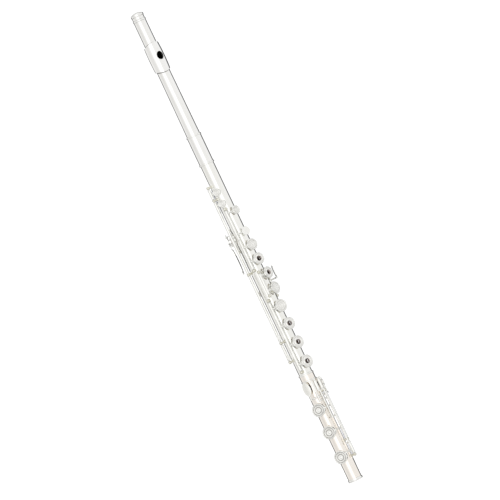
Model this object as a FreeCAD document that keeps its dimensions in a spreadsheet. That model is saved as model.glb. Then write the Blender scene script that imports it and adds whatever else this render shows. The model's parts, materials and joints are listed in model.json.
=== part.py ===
"""A concert flute: offset G, open-hole ring keys and a B foot joint, in millimetres.

The flute stands upright. The origin is the centre of the open foot end and +Z runs up the
bore to the crown. A station is a distance from the embouchure hole's centre towards the foot.
An angle of 0 points towards -Y, and angles grow anticlockwise seen from the crown; the main
finger keys lie within a few degrees of it. Each key is drawn with its pad on the tone hole; a
key that stands open is then swung back about its rod.
"""
import FreeCAD, Part
import Sketcher
import math
import os

DIMENSIONS = {
    # Tubes, by radius
    "bore": 9.5, "tube": 9.9, "tenon": 9.87, "barrel_bore": 9.9, "barrel": 10.4,
    "socket_bore": 9.93, "socket": 10.5, "ring": 11.1, "foot_ring": 10.7, "ring_round": 0.5,
    "socket_ring_round": 0.45, "head_top_bore": 8.6, "head_top": 9.0, "head_mid": 9.25,
    "tenon_step": 0.12,
    # Tubes, by station
    "foot_end": 645.0, "crown_end": -67.5, "head_end": -54.3, "head_waist": 25.0,
    "head_taper_end": 114.0, "tenon_start": 118.0, "barrel_start": 119.3, "tenon_end": 158.9,
    "body_start": 159.6, "barrel_end": 163.7, "body_end": 492.7, "socket_start": 482.3,
    "socket_step": 493.0, "foot_start": 493.4, "socket_end": 494.3, "ring_width": 2.4,
    "foot_ring_width": 3.4,
    # Lip plate and embouchure
    "blow_angle": -14.0, "lip_angle": -24.0, "lip_lean": -60.0, "lip_station": 1.5,
    "lip_offset": 0.9, "lip_curve": 11.9, "lip_length": 60.0, "lip_plate": 0.9,
    "lip_half_long": 22.0, "lip_half_wide": 21.5, "lip_edge": 0.4, "blow_long": 6.0,
    "blow_wide": 5.0, "riser_wall": 1.3, "solder": 0.1,
    # Crown and stopper
    "crown_gap": 0.1, "crown_rim": 9.45, "crown_waist": 8.85, "crown_band": 9.3,
    "thread": 2.0, "thread_bore": 2.05, "thread_start": -62.0, "cork": 8.6,
    "cork_start": -38.0, "cork_end": -19.0, "reflector_end": -17.4, "crown_flange": 2.4,
    "crown_neck": 3.0, "crown_neck_end": 6.6, "crown_flare": 7.4, "crown_dome": 10.0,
    "crown_round": 0.5, "thread_room": 1.8,
    # Tone holes and key cups
    "rim_height": 12.2, "rim_roll": 0.38, "rim_set": 0.266, "chimney_wall": 0.45,
    "chimney_root": 8.5, "pad_gap": 0.07, "lap": 2.1,
    "small_lap": 2.3, "cup_wall": 0.45, "cup_edge": 12.9, "pocket_top": 15.1, "cup_top": 15.9,
    "cup_round": 0.7, "dish": 0.35, "bead_share": 0.72, "bead_wide": 0.5, "bead_drop": 0.15,
    "lip_of_hole": 1.1, "hole_lip_top": 16.3,
    "finger_hole": 3.75, "sleeve_wall": 0.4, "sleeve_edge": 13.0, "washer": 3.3,
    "washer_thick": 0.4, "small_washer": 2.145, "screw": 0.9, "sleeve_ring": 5.3,
    "pad_fit": 0.02, "pad_hole_fit": 0.03, "pad_step": 0.6, "pad_step_fit": 0.1,
    "pad_round": 0.4, "keeper_rise": 0.1,
    # Rods, posts and springs
    "steel": 1.0, "running": 0.03, "pinned": 0.02, "hinge": 2.0, "trill_hinge": 1.9,
    "ball": 2.3, "guide_ball": 2.7, "post_foot": 2.1, "post_neck": 1.1, "rib": 10.6,
    "faced": 1.978, "guide_faced": 2.322, "post_foot_high": 0.9, "post_waist": 1.575,
    "plate_half": 11.0, "rod_side": 13.0, "rod_rise": 10.4, "arm": 1.25, "arm_rise": 13.85,
    "arm_bite": 1.0, "knuckle": 1.24, "knuckle_half": 0.9, "overrun": 0.7, "thin_arm": 1.1,
    "spring": 0.35, "spring_drop": 3.4, "spring_long": 20.0,
    "rib_from": -72.0, "rib_to": -54.0, "pad_reach": 3.2,
    # Lines of keys and rods, by angle
    "main_line": -6.0, "offset_line": 12.0, "thumb_line": -137.0, "sharp_line": 150.0,
    "trill_line": -60.0, "trill_rod_angle": -94.0, "trill_rod": 16.6, "sharp_rod_angle": 100.0,
    "sharp_rod": 17.0, "foot_line": -66.0, "foot_rod_angle": 16.0, "foot_rod": 16.5,
    "low_sharp_line": 70.0,
    # How far the keys swing
    "open_swing": 6.0, "foot_swing": 5.5,
    # Upper keys: cup station, cup radius, hinge tube's ends
    "vent_cup": 237.0, "vent_size": 6.0, "index_touch": 269.0, "index_size": 6.2,
    "index_low": 14.2, "index_high": 15.7, "index_slope": 0.75, "index_round": 0.35,
    "upper_c_top": 233.0, "upper_c_low": 277.1,
    "flat_cup": 289.5, "flat_size": 8.0, "flat_top": 277.4, "flat_low": 298.2,
    "ring_a_cup": 311.2, "ring_a_size": 8.3, "ring_a_top": 298.5, "ring_a_low": 321.4,
    "ring_g_cup": 334.0, "ring_g_size": 8.4, "low_g_cup": 357.0, "low_g_size": 8.5,
    "ring_g_top": 330.9, "ring_g_low": 361.9,
    "sharp_g_cup": 357.0, "sharp_g_size": 8.4, "sharp_g_top": 344.0, "sharp_g_low": 366.0,
    "thumb_cup": 274.0, "thumb_size": 8.0, "thumb_top": 270.3, "thumb_low": 290.0,
    "lever_top": 262.5, "lever_low": 270.0,
    "sharp_f_cup": 382.8, "sharp_f_size": 9.0, "sharp_f_top": 372.5, "sharp_f_low": 394.3,
    "ring_f_cup": 409.8, "ring_f_size": 8.7, "ring_f_top": 394.6, "ring_f_low": 423.3,
    "ring_e_cup": 438.0, "ring_e_size": 8.8, "ring_e_top": 423.6, "ring_e_low": 452.1,
    "ring_d_cup": 467.3, "ring_d_size": 8.9, "ring_d_top": 452.4, "ring_d_low": 476.0,
    # Trill keys
    "trill_size": 5.6, "trill_arm_rise": 14.02, "trill_bar": 1.0,
    "sharp_trill_cup": 204.5, "trill_cup": 221.5,
    "sharp_trill_top": 197.0, "sharp_trill_low": 211.0, "sharp_trill_arm_top": 432.8,
    "sharp_trill_arm_low": 457.0, "trill_top": 216.0, "trill_low": 427.8,
    "trill_touch": 422.0, "sharp_trill_touch": 452.5, "touch_side": 22.4, "touch_rise": 5.6,
    "touch_disc": 3.7, "touch_thick": 1.3, "touch_slope": 0.55, "touch_dome": 0.3,
    "touch_round": 0.3,
    # Spoon-shaped touches: station, half length, half width, inner and outer height
    "spoon_plate": 1.3,
    "flat_spoon": 271.6, "flat_spoon_long": 9.0, "flat_spoon_wide": 4.8, "flat_spoon_in": 17.8,
    "flat_spoon_angle": -132.0, "flat_lever_arm": 266.6, "flat_lever_arc": 18.2,
    "thumb_spoon": 302.0, "thumb_spoon_long": 21.0, "thumb_spoon_wide": 4.7,
    "thumb_spoon_in": 17.0, "thumb_spoon_angle": -135.0, "thumb_arm": 276.0,
    "thumb_link_top": 281.2, "thumb_link_low": 285.2, "thumb_link_from": 13.6,
    "thumb_link_to": 17.65, "link_half": 5.0,
    "sharp_spoon": 336.6, "sharp_spoon_long": 10.2, "sharp_spoon_wide": 3.6,
    "sharp_spoon_in": 20.5, "sharp_spoon_angle": 57.0, "sharp_arc": 21.1, "sharp_arm": 345.6,
    # Foot keys
    "low_d_cup": 502.5, "low_d_size": 8.8, "low_d_top": 516.1, "low_d_low": 522.1,
    "low_c_sharp_cup": 535.6, "low_c_sharp_size": 9.4, "low_c_sharp_top": 522.4,
    "low_c_sharp_low": 549.0,
    "low_c_cup": 569.8, "low_c_size": 9.4, "low_c_top": 549.3, "low_c_low": 585.4,
    "low_b_cup": 607.3, "low_b_size": 9.4, "low_b_top": 590.6, "low_b_low": 608.9,
    "low_b_arm": 604.0, "low_d_arm": 518.4, "low_d_lever": 518.6,
    "low_d_bar": 1.3125, "low_d_bar_start": 3.0, "foot_arc": 14.0, "foot_elbow_side": 10.1,
    "foot_elbow_rise": 9.7, "foot_arm_rise": 14.0,
    "touch_station": 503.0, "low_d_spoon_angle": -70.5, "low_d_spoon_long": 9.6,
    "low_d_spoon_wide": 5.8, "low_d_spoon_in": 16.6, "low_c_sharp_spoon_angle": -38.4,
    "low_c_sharp_spoon_long": 9.4, "low_c_sharp_spoon_wide": 1.9, "low_c_sharp_spoon_in": 16.8,
    "low_c_sharp_lever": 524.6, "touch_inset": 7.5, "lever": 1.1, "lever_bar": 1.045,
    "lever_height": 17.4,
    "roller": 2.3, "roller_bore": 0.85, "roller_pin": 0.8, "roller_height": 17.2,
    "roller_half": 7.0, "roller_round": 0.6, "lug": 1.5, "lug_in": 7.3, "lug_out": 9.0,
    "lever_start": 7.7,
    "low_c_roller_angle": -22.0, "low_c_lever_angle": -17.0, "low_c_lever": 551.4,
    "low_b_roller_angle": -1.0, "low_b_lever_angle": 3.0, "low_b_lever": 593.0,
    "low_b_rise": 1.0,
    # Posts, by station
    "post_upper": 230.5, "post_upper_low": 324.0, "post_lower": 370.0, "post_lower_low": 478.5,
    "post_g": 328.4, "post_g_low": 364.4, "post_thumb": 260.0, "post_thumb_low": 292.5,
    "post_sharp": 341.5, "post_sharp_low": 368.5, "post_trill": 194.5, "post_trill_mid": 213.5,
    "post_trill_guide": 326.0, "post_trill_lever": 430.3, "post_trill_low": 459.5,
    "post_foot_top": 513.5, "post_foot_mid": 588.0, "post_foot_low": 611.5,
    "main_rib_top": 227.5, "main_rib_low": 481.2, "foot_rib_top": 510.0, "foot_rib_low": 615.0,
}


class Size:
    """A length or angle that keeps both its value and the sheet expression behind it."""

    def __init__(self, text, value):
        self.text = text
        self.value = value

    def __add__(self, other):
        other = as_size(other)
        return Size(f"({self.text} + {other.text})", self.value + other.value)

    def __sub__(self, other):
        other = as_size(other)
        return Size(f"({self.text} - {other.text})", self.value - other.value)

    def __mul__(self, other):
        other = as_size(other)
        return Size(f"({self.text} * {other.text})", self.value * other.value)

    def __neg__(self):
        return Size(f"(0 - {self.text})", -self.value)


def as_size(number):
    return number if isinstance(number, Size) else Size(f"({number})", float(number))


def sine(angle):
    return Size(f"sin({angle.text})", math.sin(math.radians(angle.value)))


def cosine(angle):
    return Size(f"cos({angle.text})", math.cos(math.radians(angle.value)))


doc = FreeCAD.newDocument("flute")
sheet = doc.addObject("Spreadsheet::Sheet", "dims")
for row, (alias, value) in enumerate(DIMENSIONS.items(), start=1):
    sheet.set(f"A{row}", alias)
    sheet.set(f"B{row}", str(value))
    sheet.setAlias(f"B{row}", alias)
doc.recompute()


def dim(alias):
    return Size(f"dims.{alias}", float(sheet.get(alias)))


FOOT_END = dim("foot_end")
PAST = 1  # how far a cutter runs past what it cuts
FULL_TURN = as_size(360)
QUARTER = as_size(90)
ZERO = as_size(0)


def height(station):
    """The Z of a station."""
    return FOOT_END - station


# --- Small helpers that add one object each ---

def bind(thing, **sizes):
    for name, size in sizes.items():
        thing.setExpression(name, as_size(size).text)


def put(thing, x, y, z, yaw=ZERO, pitch=0, roll=0):
    x, y, z, yaw = as_size(x), as_size(y), as_size(z), as_size(yaw)
    place = f"vector({x.text}; {y.text}; {z.text}); rotation({yaw.text}; {pitch}; {roll})"
    thing.setExpression("Placement", f"placement({place})")
    return thing


def polar(radius, angle):
    """X and Y of a point at a distance from the bore's axis, in a direction."""
    return radius * sine(angle), -(radius * cosine(angle))


def across(side, rise, line):
    """X and Y of a point beside a line of keys: side towards its rod, rise outward."""
    x = rise * sine(line) - side * cosine(line)
    y = -(side * sine(line)) - rise * cosine(line)
    return x, y


def rod(label, radius, spot, top, low, sweep=FULL_TURN, yaw=ZERO):
    """A cylinder parallel to the bore, between two stations."""
    thing = doc.addObject("Part::Cylinder", label)
    bind(thing, Radius=radius, Height=low - top, Angle=sweep)
    return put(thing, spot[0], spot[1], height(low), yaw)


def peg(label, radius, angle, station, inner, outer):
    """A cylinder that stands out from the bore's axis."""
    thing = doc.addObject("Part::Cylinder", label)
    bind(thing, Radius=radius, Height=outer - inner)
    x, y = polar(inner, angle)
    return put(thing, x, y, height(station), angle, 0, 90)


def neck(label, radii, angle, station, inner, outer):
    """A tapered peg."""
    thing = doc.addObject("Part::Cone", label)
    bind(thing, Radius1=radii[0], Radius2=radii[1], Height=outer - inner)
    x, y = polar(inner, angle)
    return put(thing, x, y, height(station), angle, 0, 90)


def ball(label, radius, spot, station):
    thing = doc.addObject("Part::Sphere", label)
    bind(thing, Radius=radius)
    return put(thing, spot[0], spot[1], height(station))


def knuckle(label, spot, station):
    """A short round boss, parallel to the bore, at the corner of two bars."""
    half = dim("knuckle_half")
    return rod(label, dim("knuckle"), spot, station - half, station + half)


def bend(label, major, minor, centre, station, start, sweep):
    """A round bar bent to an arc, in a plane square to the bore."""
    thing = doc.addObject("Part::Torus", label)
    bind(thing, Radius1=major, Radius2=minor, Angle3=sweep)
    return put(thing, centre[0], centre[1], height(station), start)


def strut(label, radius, begin, length, line, station):
    """A round bar square to the bore, running from a point away from a line's rod."""
    thing = doc.addObject("Part::Cylinder", label)
    bind(thing, Radius=radius, Height=length)
    return put(thing, begin[0], begin[1], height(station), line, 90, 0)


def fuse(label, parts):
    if len(parts) == 1:
        return parts[0]
    thing = doc.addObject("Part::MultiFuse", label)
    thing.Shapes = parts
    return thing


def cut(label, base, tools):
    thing = doc.addObject("Part::Cut", label)
    thing.Base = base
    thing.Tool = fuse(label + "_tools", tools)
    return thing


def common(label, parts):
    thing = doc.addObject("Part::MultiCommon", label)
    thing.Shapes = parts
    return thing


def group(label, parts):
    thing = doc.addObject("Part::Compound", label)
    thing.Links = parts
    return thing


def ring_shell(label, inner, outer, top, low, start=ZERO, sweep=FULL_TURN):
    """A pipe, or a sector of one that starts at an angle."""
    yaw = start - QUARTER
    axis = (ZERO, ZERO)
    whole = rod(label + "_outer", outer, axis, top, low, sweep, yaw)
    hole = rod(label + "_inner", inner, axis, top - PAST, low + PAST)
    return cut(label, whole, [hole])


def oval_prism(label, half_long, half_wide, angle, station, inner, outer):
    """An oval bar that stands out from the bore, longer along it."""
    outline = doc.addObject("Part::Ellipse", label + "_outline")
    bind(outline, MajorRadius=half_long, MinorRadius=half_wide)
    x, y = polar((inner + outer) * 0.5, angle)
    put(outline, x, y, height(station), angle + 90, -90, 0)
    thing = doc.addObject("Part::Extrusion", label)
    thing.Base = outline
    thing.DirMode = "Normal"
    thing.Solid = True
    thing.Symmetric = True
    bind(thing, LengthFwd=outer - inner)
    return thing


# --- Turned pieces, drawn as half outlines ---

def segment(start, end, domed):
    """One side of an outline, and which of its ends comes first."""
    first = FreeCAD.Vector(start[0].value, start[1].value, 0)
    last = FreeCAD.Vector(end[0].value, end[1].value, 0)
    if not domed:
        return Part.LineSegment(first, last), False
    centre_height = (last.dot(last) - first.dot(first)) / (2 * (last.y - first.y))
    centre = FreeCAD.Vector(0, centre_height, 0)
    begin = math.atan2(first.y - centre_height, first.x)
    finish = math.atan2(last.y - centre_height, last.x)
    circle = Part.Circle(centre, FreeCAD.Vector(0, 0, 1), (first - centre).Length)
    reverse = finish < begin
    return Part.ArcOfCircle(circle, min(begin, finish), max(begin, finish)), reverse


def draw(sketch, outline):
    """Close an outline of (radius, height) corners, each tied to its sizes.

    A third entry, "dome", makes the side that follows a corner an arc centred on the axis.
    """
    corners = [(as_size(corner[0]), as_size(corner[1])) for corner in outline]
    starts = []
    ends = []
    for index, corner in enumerate(outline):
        following = corners[(index + 1) % len(corners)]
        domed = len(corner) == 3
        side, reverse = segment(corners[index], following, domed)
        sketch.addGeometry(side)
        starts.append(2 if reverse else 1)
        ends.append(1 if reverse else 2)
        if domed:
            sketch.addConstraint(Sketcher.Constraint("PointOnObject", index, 3, -2))
    for index, (radius, rise) in enumerate(corners):
        previous = index - 1 if index else len(corners) - 1
        here = (index, starts[index])
        sketch.addConstraint(Sketcher.Constraint("Coincident", previous, ends[previous], *here))
        if radius.value == 0:
            sketch.addConstraint(Sketcher.Constraint("PointOnObject", *here, -2))
        else:
            tie = Sketcher.Constraint("DistanceX", -1, 1, *here, radius.value)
            number = sketch.addConstraint(tie)
            sketch.setExpression(f"Constraints[{number}]", radius.text)
        if rise.value == 0:
            sketch.addConstraint(Sketcher.Constraint("PointOnObject", *here, -1))
        else:
            tie = Sketcher.Constraint("DistanceY", -1, 1, *here, rise.value)
            number = sketch.addConstraint(tie)
            sketch.setExpression(f"Constraints[{number}]", rise.text)


def circles_at(shape, rims):
    """Names of the circular edges of given radius and height."""
    names = []
    for number, edge in enumerate(shape.Edges, start=1):
        if edge.Degenerated or not isinstance(edge.Curve, Part.Circle):
            continue
        for radius, rise in rims:
            same_radius = abs(edge.Curve.Radius - radius.value) < 0.001
            if same_radius and abs(edge.Curve.Center.z - rise.value) < 0.001:
                names.append(f"Edge{number}")
                break
    return names


def turned(label, outline, rounds=()):
    """A solid of revolution about its own Z; rounds lists (size, rims) to round off."""
    body = doc.addObject("PartDesign::Body", label)
    sketch = body.newObject("Sketcher::SketchObject", label + "_outline")
    plane = [item for item in body.Origin.OriginFeatures if item.Role == "XZ_Plane"][0]
    sketch.AttachmentSupport = [(plane, "")]
    sketch.MapMode = "FlatFace"
    draw(sketch, outline)
    feature = body.newObject("PartDesign::Revolution", label + "_turn")
    feature.Profile = sketch
    feature.ReferenceAxis = (sketch, ["V_Axis"])
    feature.Angle = 360
    for count, (radius, rims) in enumerate(rounds, start=1):
        doc.recompute()
        base = feature
        feature = body.newObject("PartDesign::Fillet", f"{label}_round_{count}")
        feature.Base = (base, circles_at(base.Shape, rims))
        bind(feature, Radius=radius)
    body.Tip = feature
    return body


def facing(thing, angle, station):
    """Stand a turned piece outward from the bore's axis at a station."""
    return put(thing, ZERO, ZERO, height(station), angle, 0, 90)


def band(label, inner, outer, top, low, round_off):
    """A plain ring round the tube with rounded outer corners."""
    outline = [(inner, height(low)), (outer, height(low)), (outer, height(top)),
               (inner, height(top))]
    rims = [(outer, height(low)), (outer, height(top))]
    return turned(label, outline, [(round_off, rims)])


# --- Tubes and tone holes ---

TONE_HOLES = {
    "trill_sharp": ("trill_line", "sharp_trill_cup", "trill_size", "lap"),
    "trill_plain": ("trill_line", "trill_cup", "trill_size", "lap"),
    "vent": ("main_line", "vent_cup", "vent_size", "small_lap"),
    "thumb": ("thumb_line", "thumb_cup", "thumb_size", "lap"),
    "flat": ("main_line", "flat_cup", "flat_size", "lap"),
    "a": ("main_line", "ring_a_cup", "ring_a_size", "lap"),
    "g": ("offset_line", "ring_g_cup", "ring_g_size", "lap"),
    "g_low": ("offset_line", "low_g_cup", "low_g_size", "lap"),
    "g_sharp": ("sharp_line", "sharp_g_cup", "sharp_g_size", "lap"),
    "f_sharp": ("main_line", "sharp_f_cup", "sharp_f_size", "lap"),
    "f": ("main_line", "ring_f_cup", "ring_f_size", "lap"),
    "e": ("main_line", "ring_e_cup", "ring_e_size", "lap"),
    "d": ("main_line", "ring_d_cup", "ring_d_size", "lap"),
}
FOOT_HOLES = {
    "low_d": ("low_sharp_line", "low_d_cup", "low_d_size", "lap"),
    "low_c_sharp": ("foot_line", "low_c_sharp_cup", "low_c_sharp_size", "lap"),
    "low_c": ("foot_line", "low_c_cup", "low_c_size", "lap"),
    "low_b": ("foot_line", "low_b_cup", "low_b_size", "lap"),
}


def tube_with_holes(label, top, low, holes):
    """A thin tube with a drawn, rolled-edge chimney at each tone hole."""
    axis = (ZERO, ZERO)
    metal = [rod(label + "_wall", dim("tube"), axis, top, low)]
    hollows = [rod(label + "_bore", dim("bore"), axis, top - PAST, low + PAST)]
    roll_height = dim("rim_height") - dim("rim_roll")
    for name, (line, station, size, lap) in holes.items():
        angle = dim(line)
        place = dim(station)
        radius = dim(size) - dim(lap)
        wall = radius + dim("chimney_wall")
        root = dim("chimney_root")
        metal.append(peg(name + "_chimney", wall, angle, place, root, roll_height))
        roll = doc.addObject("Part::Torus", name + "_rolled_edge")
        bind(roll, Radius1=radius + dim("rim_set"), Radius2=dim("rim_roll"))
        x, y = polar(roll_height, angle)
        put(roll, x, y, height(place), angle, 0, 90)
        metal.append(roll)
        hollows.append(peg(name + "_hole", radius, angle, place, ZERO, dim("rim_height") + PAST))
    return cut(label, fuse(label + "_blank", metal), hollows)


def make_barrel():
    ring_shell("barrel", dim("barrel_bore"), dim("barrel"), dim("barrel_start"),
               dim("barrel_end"))
    upper = band("barrel_ring_upper", dim("barrel"), dim("ring"), dim("barrel_start"),
                 dim("barrel_start") + dim("ring_width"), dim("ring_round"))
    lower = band("barrel_ring_lower", dim("barrel"), dim("ring"),
                 dim("barrel_end") - dim("ring_width"), dim("barrel_end"), dim("ring_round"))
    group("body_rings", [upper, lower])


def make_head():
    outline = [
        (dim("bore"), height(dim("tenon_end"))),
        (dim("tenon"), height(dim("tenon_end"))),
        (dim("tenon"), height(dim("tenon_start"))),
        (dim("tenon") - dim("tenon_step"), height(dim("head_taper_end"))),
        (dim("head_mid"), height(dim("head_waist"))),
        (dim("head_top"), height(dim("head_end"))),
        (dim("head_top_bore"), height(dim("head_end"))),
        (dim("bore"), height(dim("tenon_start"))),
    ]
    pipe = turned("head_pipe", outline)
    reach = dim("lip_curve") + dim("lip_offset") + PAST
    blow = oval_prism("blow_hole", dim("blow_long"), dim("blow_wide"), dim("blow_angle"), ZERO,
                      ZERO, reach)
    cut("head_tube", pipe, [blow])
    make_lip_plate(reach, blow)


def lip_shell(label, drop):
    """The swelling surface of the lip plate, at a depth under its top."""
    thing = doc.addObject("Part::Ellipsoid", label)
    curve = dim("lip_curve") - drop
    bind(thing, Radius1=dim("lip_length") - drop, Radius2=curve, Radius3=curve)
    x, y = polar(dim("lip_offset"), dim("lip_lean"))
    return put(thing, x, y, height(dim("lip_station")))


def make_lip_plate(reach, blow):
    outer = lip_shell("lip_outside", ZERO)
    inner = lip_shell("lip_inside", dim("lip_plate"))
    trim = oval_prism("lip_trim", dim("lip_half_long"), dim("lip_half_wide"), dim("lip_angle"),
                      dim("lip_station"), dim("lip_edge"), reach)
    seat_radius = dim("head_mid") + dim("solder")
    seat = rod("lip_seat", seat_radius, (ZERO, ZERO), -dim("lip_length"), dim("lip_length"))
    plate = common("lip_blank", [outer, trim])
    cut("lip_plate", plate, [inner, blow, seat])
    wall = dim("riser_wall")
    chimney = oval_prism("riser_outside", dim("blow_long") + wall, dim("blow_wide") + wall,
                         dim("blow_angle"), ZERO, dim("chimney_root"), reach)
    under = lip_shell("riser_ceiling", dim("lip_plate"))
    cut("riser", common("riser_blank", [chimney, under]), [blow, seat])


def make_crown():
    rim = dim("head_end") - dim("crown_gap")
    thread_end = dim("thread_start") - dim("thread_room")
    flange = height(rim - dim("crown_flange"))
    dome = height(rim - dim("crown_dome"))
    outline = [
        (0, height(thread_end)),
        (dim("thread_bore"), height(thread_end)),
        (dim("thread_bore"), height(rim)),
        (dim("crown_rim"), height(rim)),
        (dim("crown_rim"), flange),
        (dim("crown_waist"), height(rim - dim("crown_neck"))),
        (dim("crown_waist"), height(rim - dim("crown_neck_end"))),
        (dim("crown_band"), height(rim - dim("crown_flare"))),
        (dim("crown_band"), dome, "dome"),
        (0, height(dim("crown_end"))),
    ]
    rims = [(dim("crown_rim"), height(rim)), (dim("crown_rim"), flange),
            (dim("crown_band"), dome)]
    turned("crown", outline, [(dim("crown_round"), rims)])


def make_stopper():
    axis = (ZERO, ZERO)
    rod("stopper_rod", dim("thread"), axis, dim("thread_start"), dim("cork_end"))
    ring_shell("stopper_cork", dim("thread"), dim("cork"), dim("cork_start"), dim("cork_end"))
    rod("reflector_plate", dim("cork"), axis, dim("cork_end"), dim("reflector_end"))


def make_foot_tube():
    tube_with_holes("foot_tube", dim("foot_start"), FOOT_END, FOOT_HOLES)
    outline = [
        (dim("socket_bore"), height(dim("socket_start"))),
        (dim("socket_bore"), height(dim("socket_step"))),
        (dim("tube"), height(dim("socket_step"))),
        (dim("tube"), height(dim("socket_end"))),
        (dim("socket"), height(dim("socket_end"))),
        (dim("socket"), height(dim("socket_start"))),
    ]
    turned("foot_socket", outline)
    width = dim("ring_width")
    upper = band("socket_ring_upper", dim("socket"), dim("ring"), dim("socket_start"),
                 dim("socket_start") + width, dim("socket_ring_round"))
    lower = band("socket_ring_lower", dim("socket"), dim("ring"), dim("socket_end") - width,
                 dim("socket_end"), dim("socket_ring_round"))
    last = band("foot_end_ring", dim("tube"), dim("foot_ring"),
                FOOT_END - dim("foot_ring_width"), FOOT_END, dim("ring_round"))
    group("foot_rings", [upper, lower, last])


# --- Posts, ribs, steels and springs ---

def rod_angle(line):
    """The direction of a finger-key line's rod."""
    offset = Size("(0 - atan(dims.rod_side / dims.rod_rise) / 1 deg)",
                  -math.degrees(math.atan2(dim("rod_side").value, dim("rod_rise").value)))
    return dim(line) + offset


def rod_distance():
    return Size("sqrt(dims.rod_side ^ 2 + dims.rod_rise ^ 2)",
                math.hypot(dim("rod_side").value, dim("rod_rise").value))


ROD = rod_distance()
RODS = {
    "main": (ROD, rod_angle("main_line")),
    "offset": (ROD, rod_angle("offset_line")),
    "thumb": (ROD, rod_angle("thumb_line")),
    "sharp": (dim("sharp_rod"), dim("sharp_rod_angle")),
    "trill": (dim("trill_rod"), dim("trill_rod_angle")),
    "foot": (dim("foot_rod"), dim("foot_rod_angle")),
}
BODY_POSTS = {
    "main": ["post_upper", "post_upper_low", "post_lower", "post_lower_low"],
    "offset": ["post_g", "post_g_low"],
    "thumb": ["post_thumb", "post_thumb_low"],
    "sharp": ["post_sharp", "post_sharp_low"],
    "trill": ["post_trill", "post_trill_mid", "post_trill_guide", "post_trill_lever",
              "post_trill_low"],
}
FOOT_POSTS = ["post_foot_top", "post_foot_mid", "post_foot_low"]


def post(label, line, station):
    """A turned post: a foot on the rib, a tapered neck and a bored ball with faced ends."""
    distance, angle = RODS[line]
    guide = label == "post_trill_guide"
    bore = dim("trill_hinge") + dim("running") * 2 if guide else dim("steel") + dim("running")
    head = dim("guide_ball") if guide else dim("ball")
    faced = dim("guide_faced") if guide else dim("faced")
    spot = polar(distance, angle)
    metal = [
        peg(label + "_foot", dim("post_foot"), angle, station, dim("bore"),
            dim("rib") + dim("post_foot_high")),
        neck(label + "_neck", (dim("post_waist"), dim("post_neck")), angle, station,
             dim("rib"), distance - PAST),
        ball(label + "_ball", head, spot, station),
    ]
    wide = dim("rod_side")
    keep = rod(label + "_facing", wide, spot, station - faced, station + faced)
    blank = common(label + "_faced", [fuse(label + "_blank", metal), keep])
    top = station - head * 2
    low = station + head * 2
    seat = rod(label + "_seat", dim("rib"), (ZERO, ZERO), top, low)
    hole = rod(label + "_hole", bore, spot, top, low)
    return cut(label + "_done", blank, [seat, hole])


def sector(label, angle, half, top, low):
    """A curved plate soldered on the tube, centred on an angle."""
    return ring_shell(label, dim("tube"), dim("rib"), top, low, angle - half, half * 2)


def make_ribs_and_posts():
    ring_shell("main_rib", dim("tube"), dim("rib"), dim("main_rib_top"), dim("main_rib_low"),
               dim("rib_from"), dim("rib_to") - dim("rib_from"))
    plates = []
    posts = []
    for line, stations in BODY_POSTS.items():
        for name in stations:
            station = dim(name)
            posts.append(post(name, line, station))
            if line != "main":
                plates.append(sector(name + "_plate", RODS[line][1], dim("plate_half"),
                                     station - dim("pad_reach"), station + dim("pad_reach")))
    group("side_ribs", plates)
    group("body_posts", posts)
    sector("foot_rib", dim("foot_rod_angle"), dim("plate_half"), dim("foot_rib_top"),
           dim("foot_rib_low"))
    group("foot_posts", [post(name, "foot", dim(name)) for name in FOOT_POSTS])


def steel(label, line, first_post, last_post):
    """A hinge steel that runs from one post's outer face to another's."""
    distance, angle = RODS[line]
    reach = dim("faced")
    return rod(label, dim("steel"), polar(distance, angle), dim(first_post) - reach,
               dim(last_post) + reach)


def make_steels():
    steel("upper_steel", "main", "post_upper", "post_upper_low")
    steel("lower_steel", "main", "post_lower", "post_lower_low")
    short = [
        steel("g_steel", "offset", "post_g", "post_g_low"),
        steel("thumb_steel", "thumb", "post_thumb", "post_thumb_low"),
        steel("g_sharp_steel", "sharp", "post_sharp", "post_sharp_low"),
    ]
    group("short_steels", short)
    steel("trill_steel", "trill", "post_trill", "post_trill_low")
    steel("foot_steel", "foot", "post_foot_top", "post_foot_low")


def spring(label, line, station, towards_foot):
    """A needle spring, fixed in a post and lying beside its rod."""
    distance, angle = RODS[line]
    spot = polar(distance - dim("spring_drop"), angle)
    length = dim("spring_long")
    if towards_foot:
        return rod(label, dim("spring"), spot, station, station + length)
    return rod(label, dim("spring"), spot, station - length, station)


def make_springs():
    places = [
        ("upper_c_spring", "main", "post_upper", True),
        ("a_spring", "main", "post_upper_low", False),
        ("f_sharp_spring", "main", "post_lower", True),
        ("d_spring", "main", "post_lower_low", False),
        ("g_spring", "offset", "post_g", True),
        ("thumb_spring", "thumb", "post_thumb", True),
        ("sharp_trill_spring", "trill", "post_trill_mid", False),
        ("trill_spring", "trill", "post_trill_mid", True),
    ]
    needles = []
    for label, line, place, towards_foot in places:
        needles.append(spring(label, line, dim(place), towards_foot))
    group("body_springs", needles)
    foot = [
        spring("low_d_spring", "foot", dim("post_foot_top"), True),
        spring("low_c_spring", "foot", dim("post_foot_mid"), False),
        spring("low_b_spring", "foot", dim("post_foot_low"), False),
    ]
    group("foot_springs", foot)


# --- Cups, pads and keys ---

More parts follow.
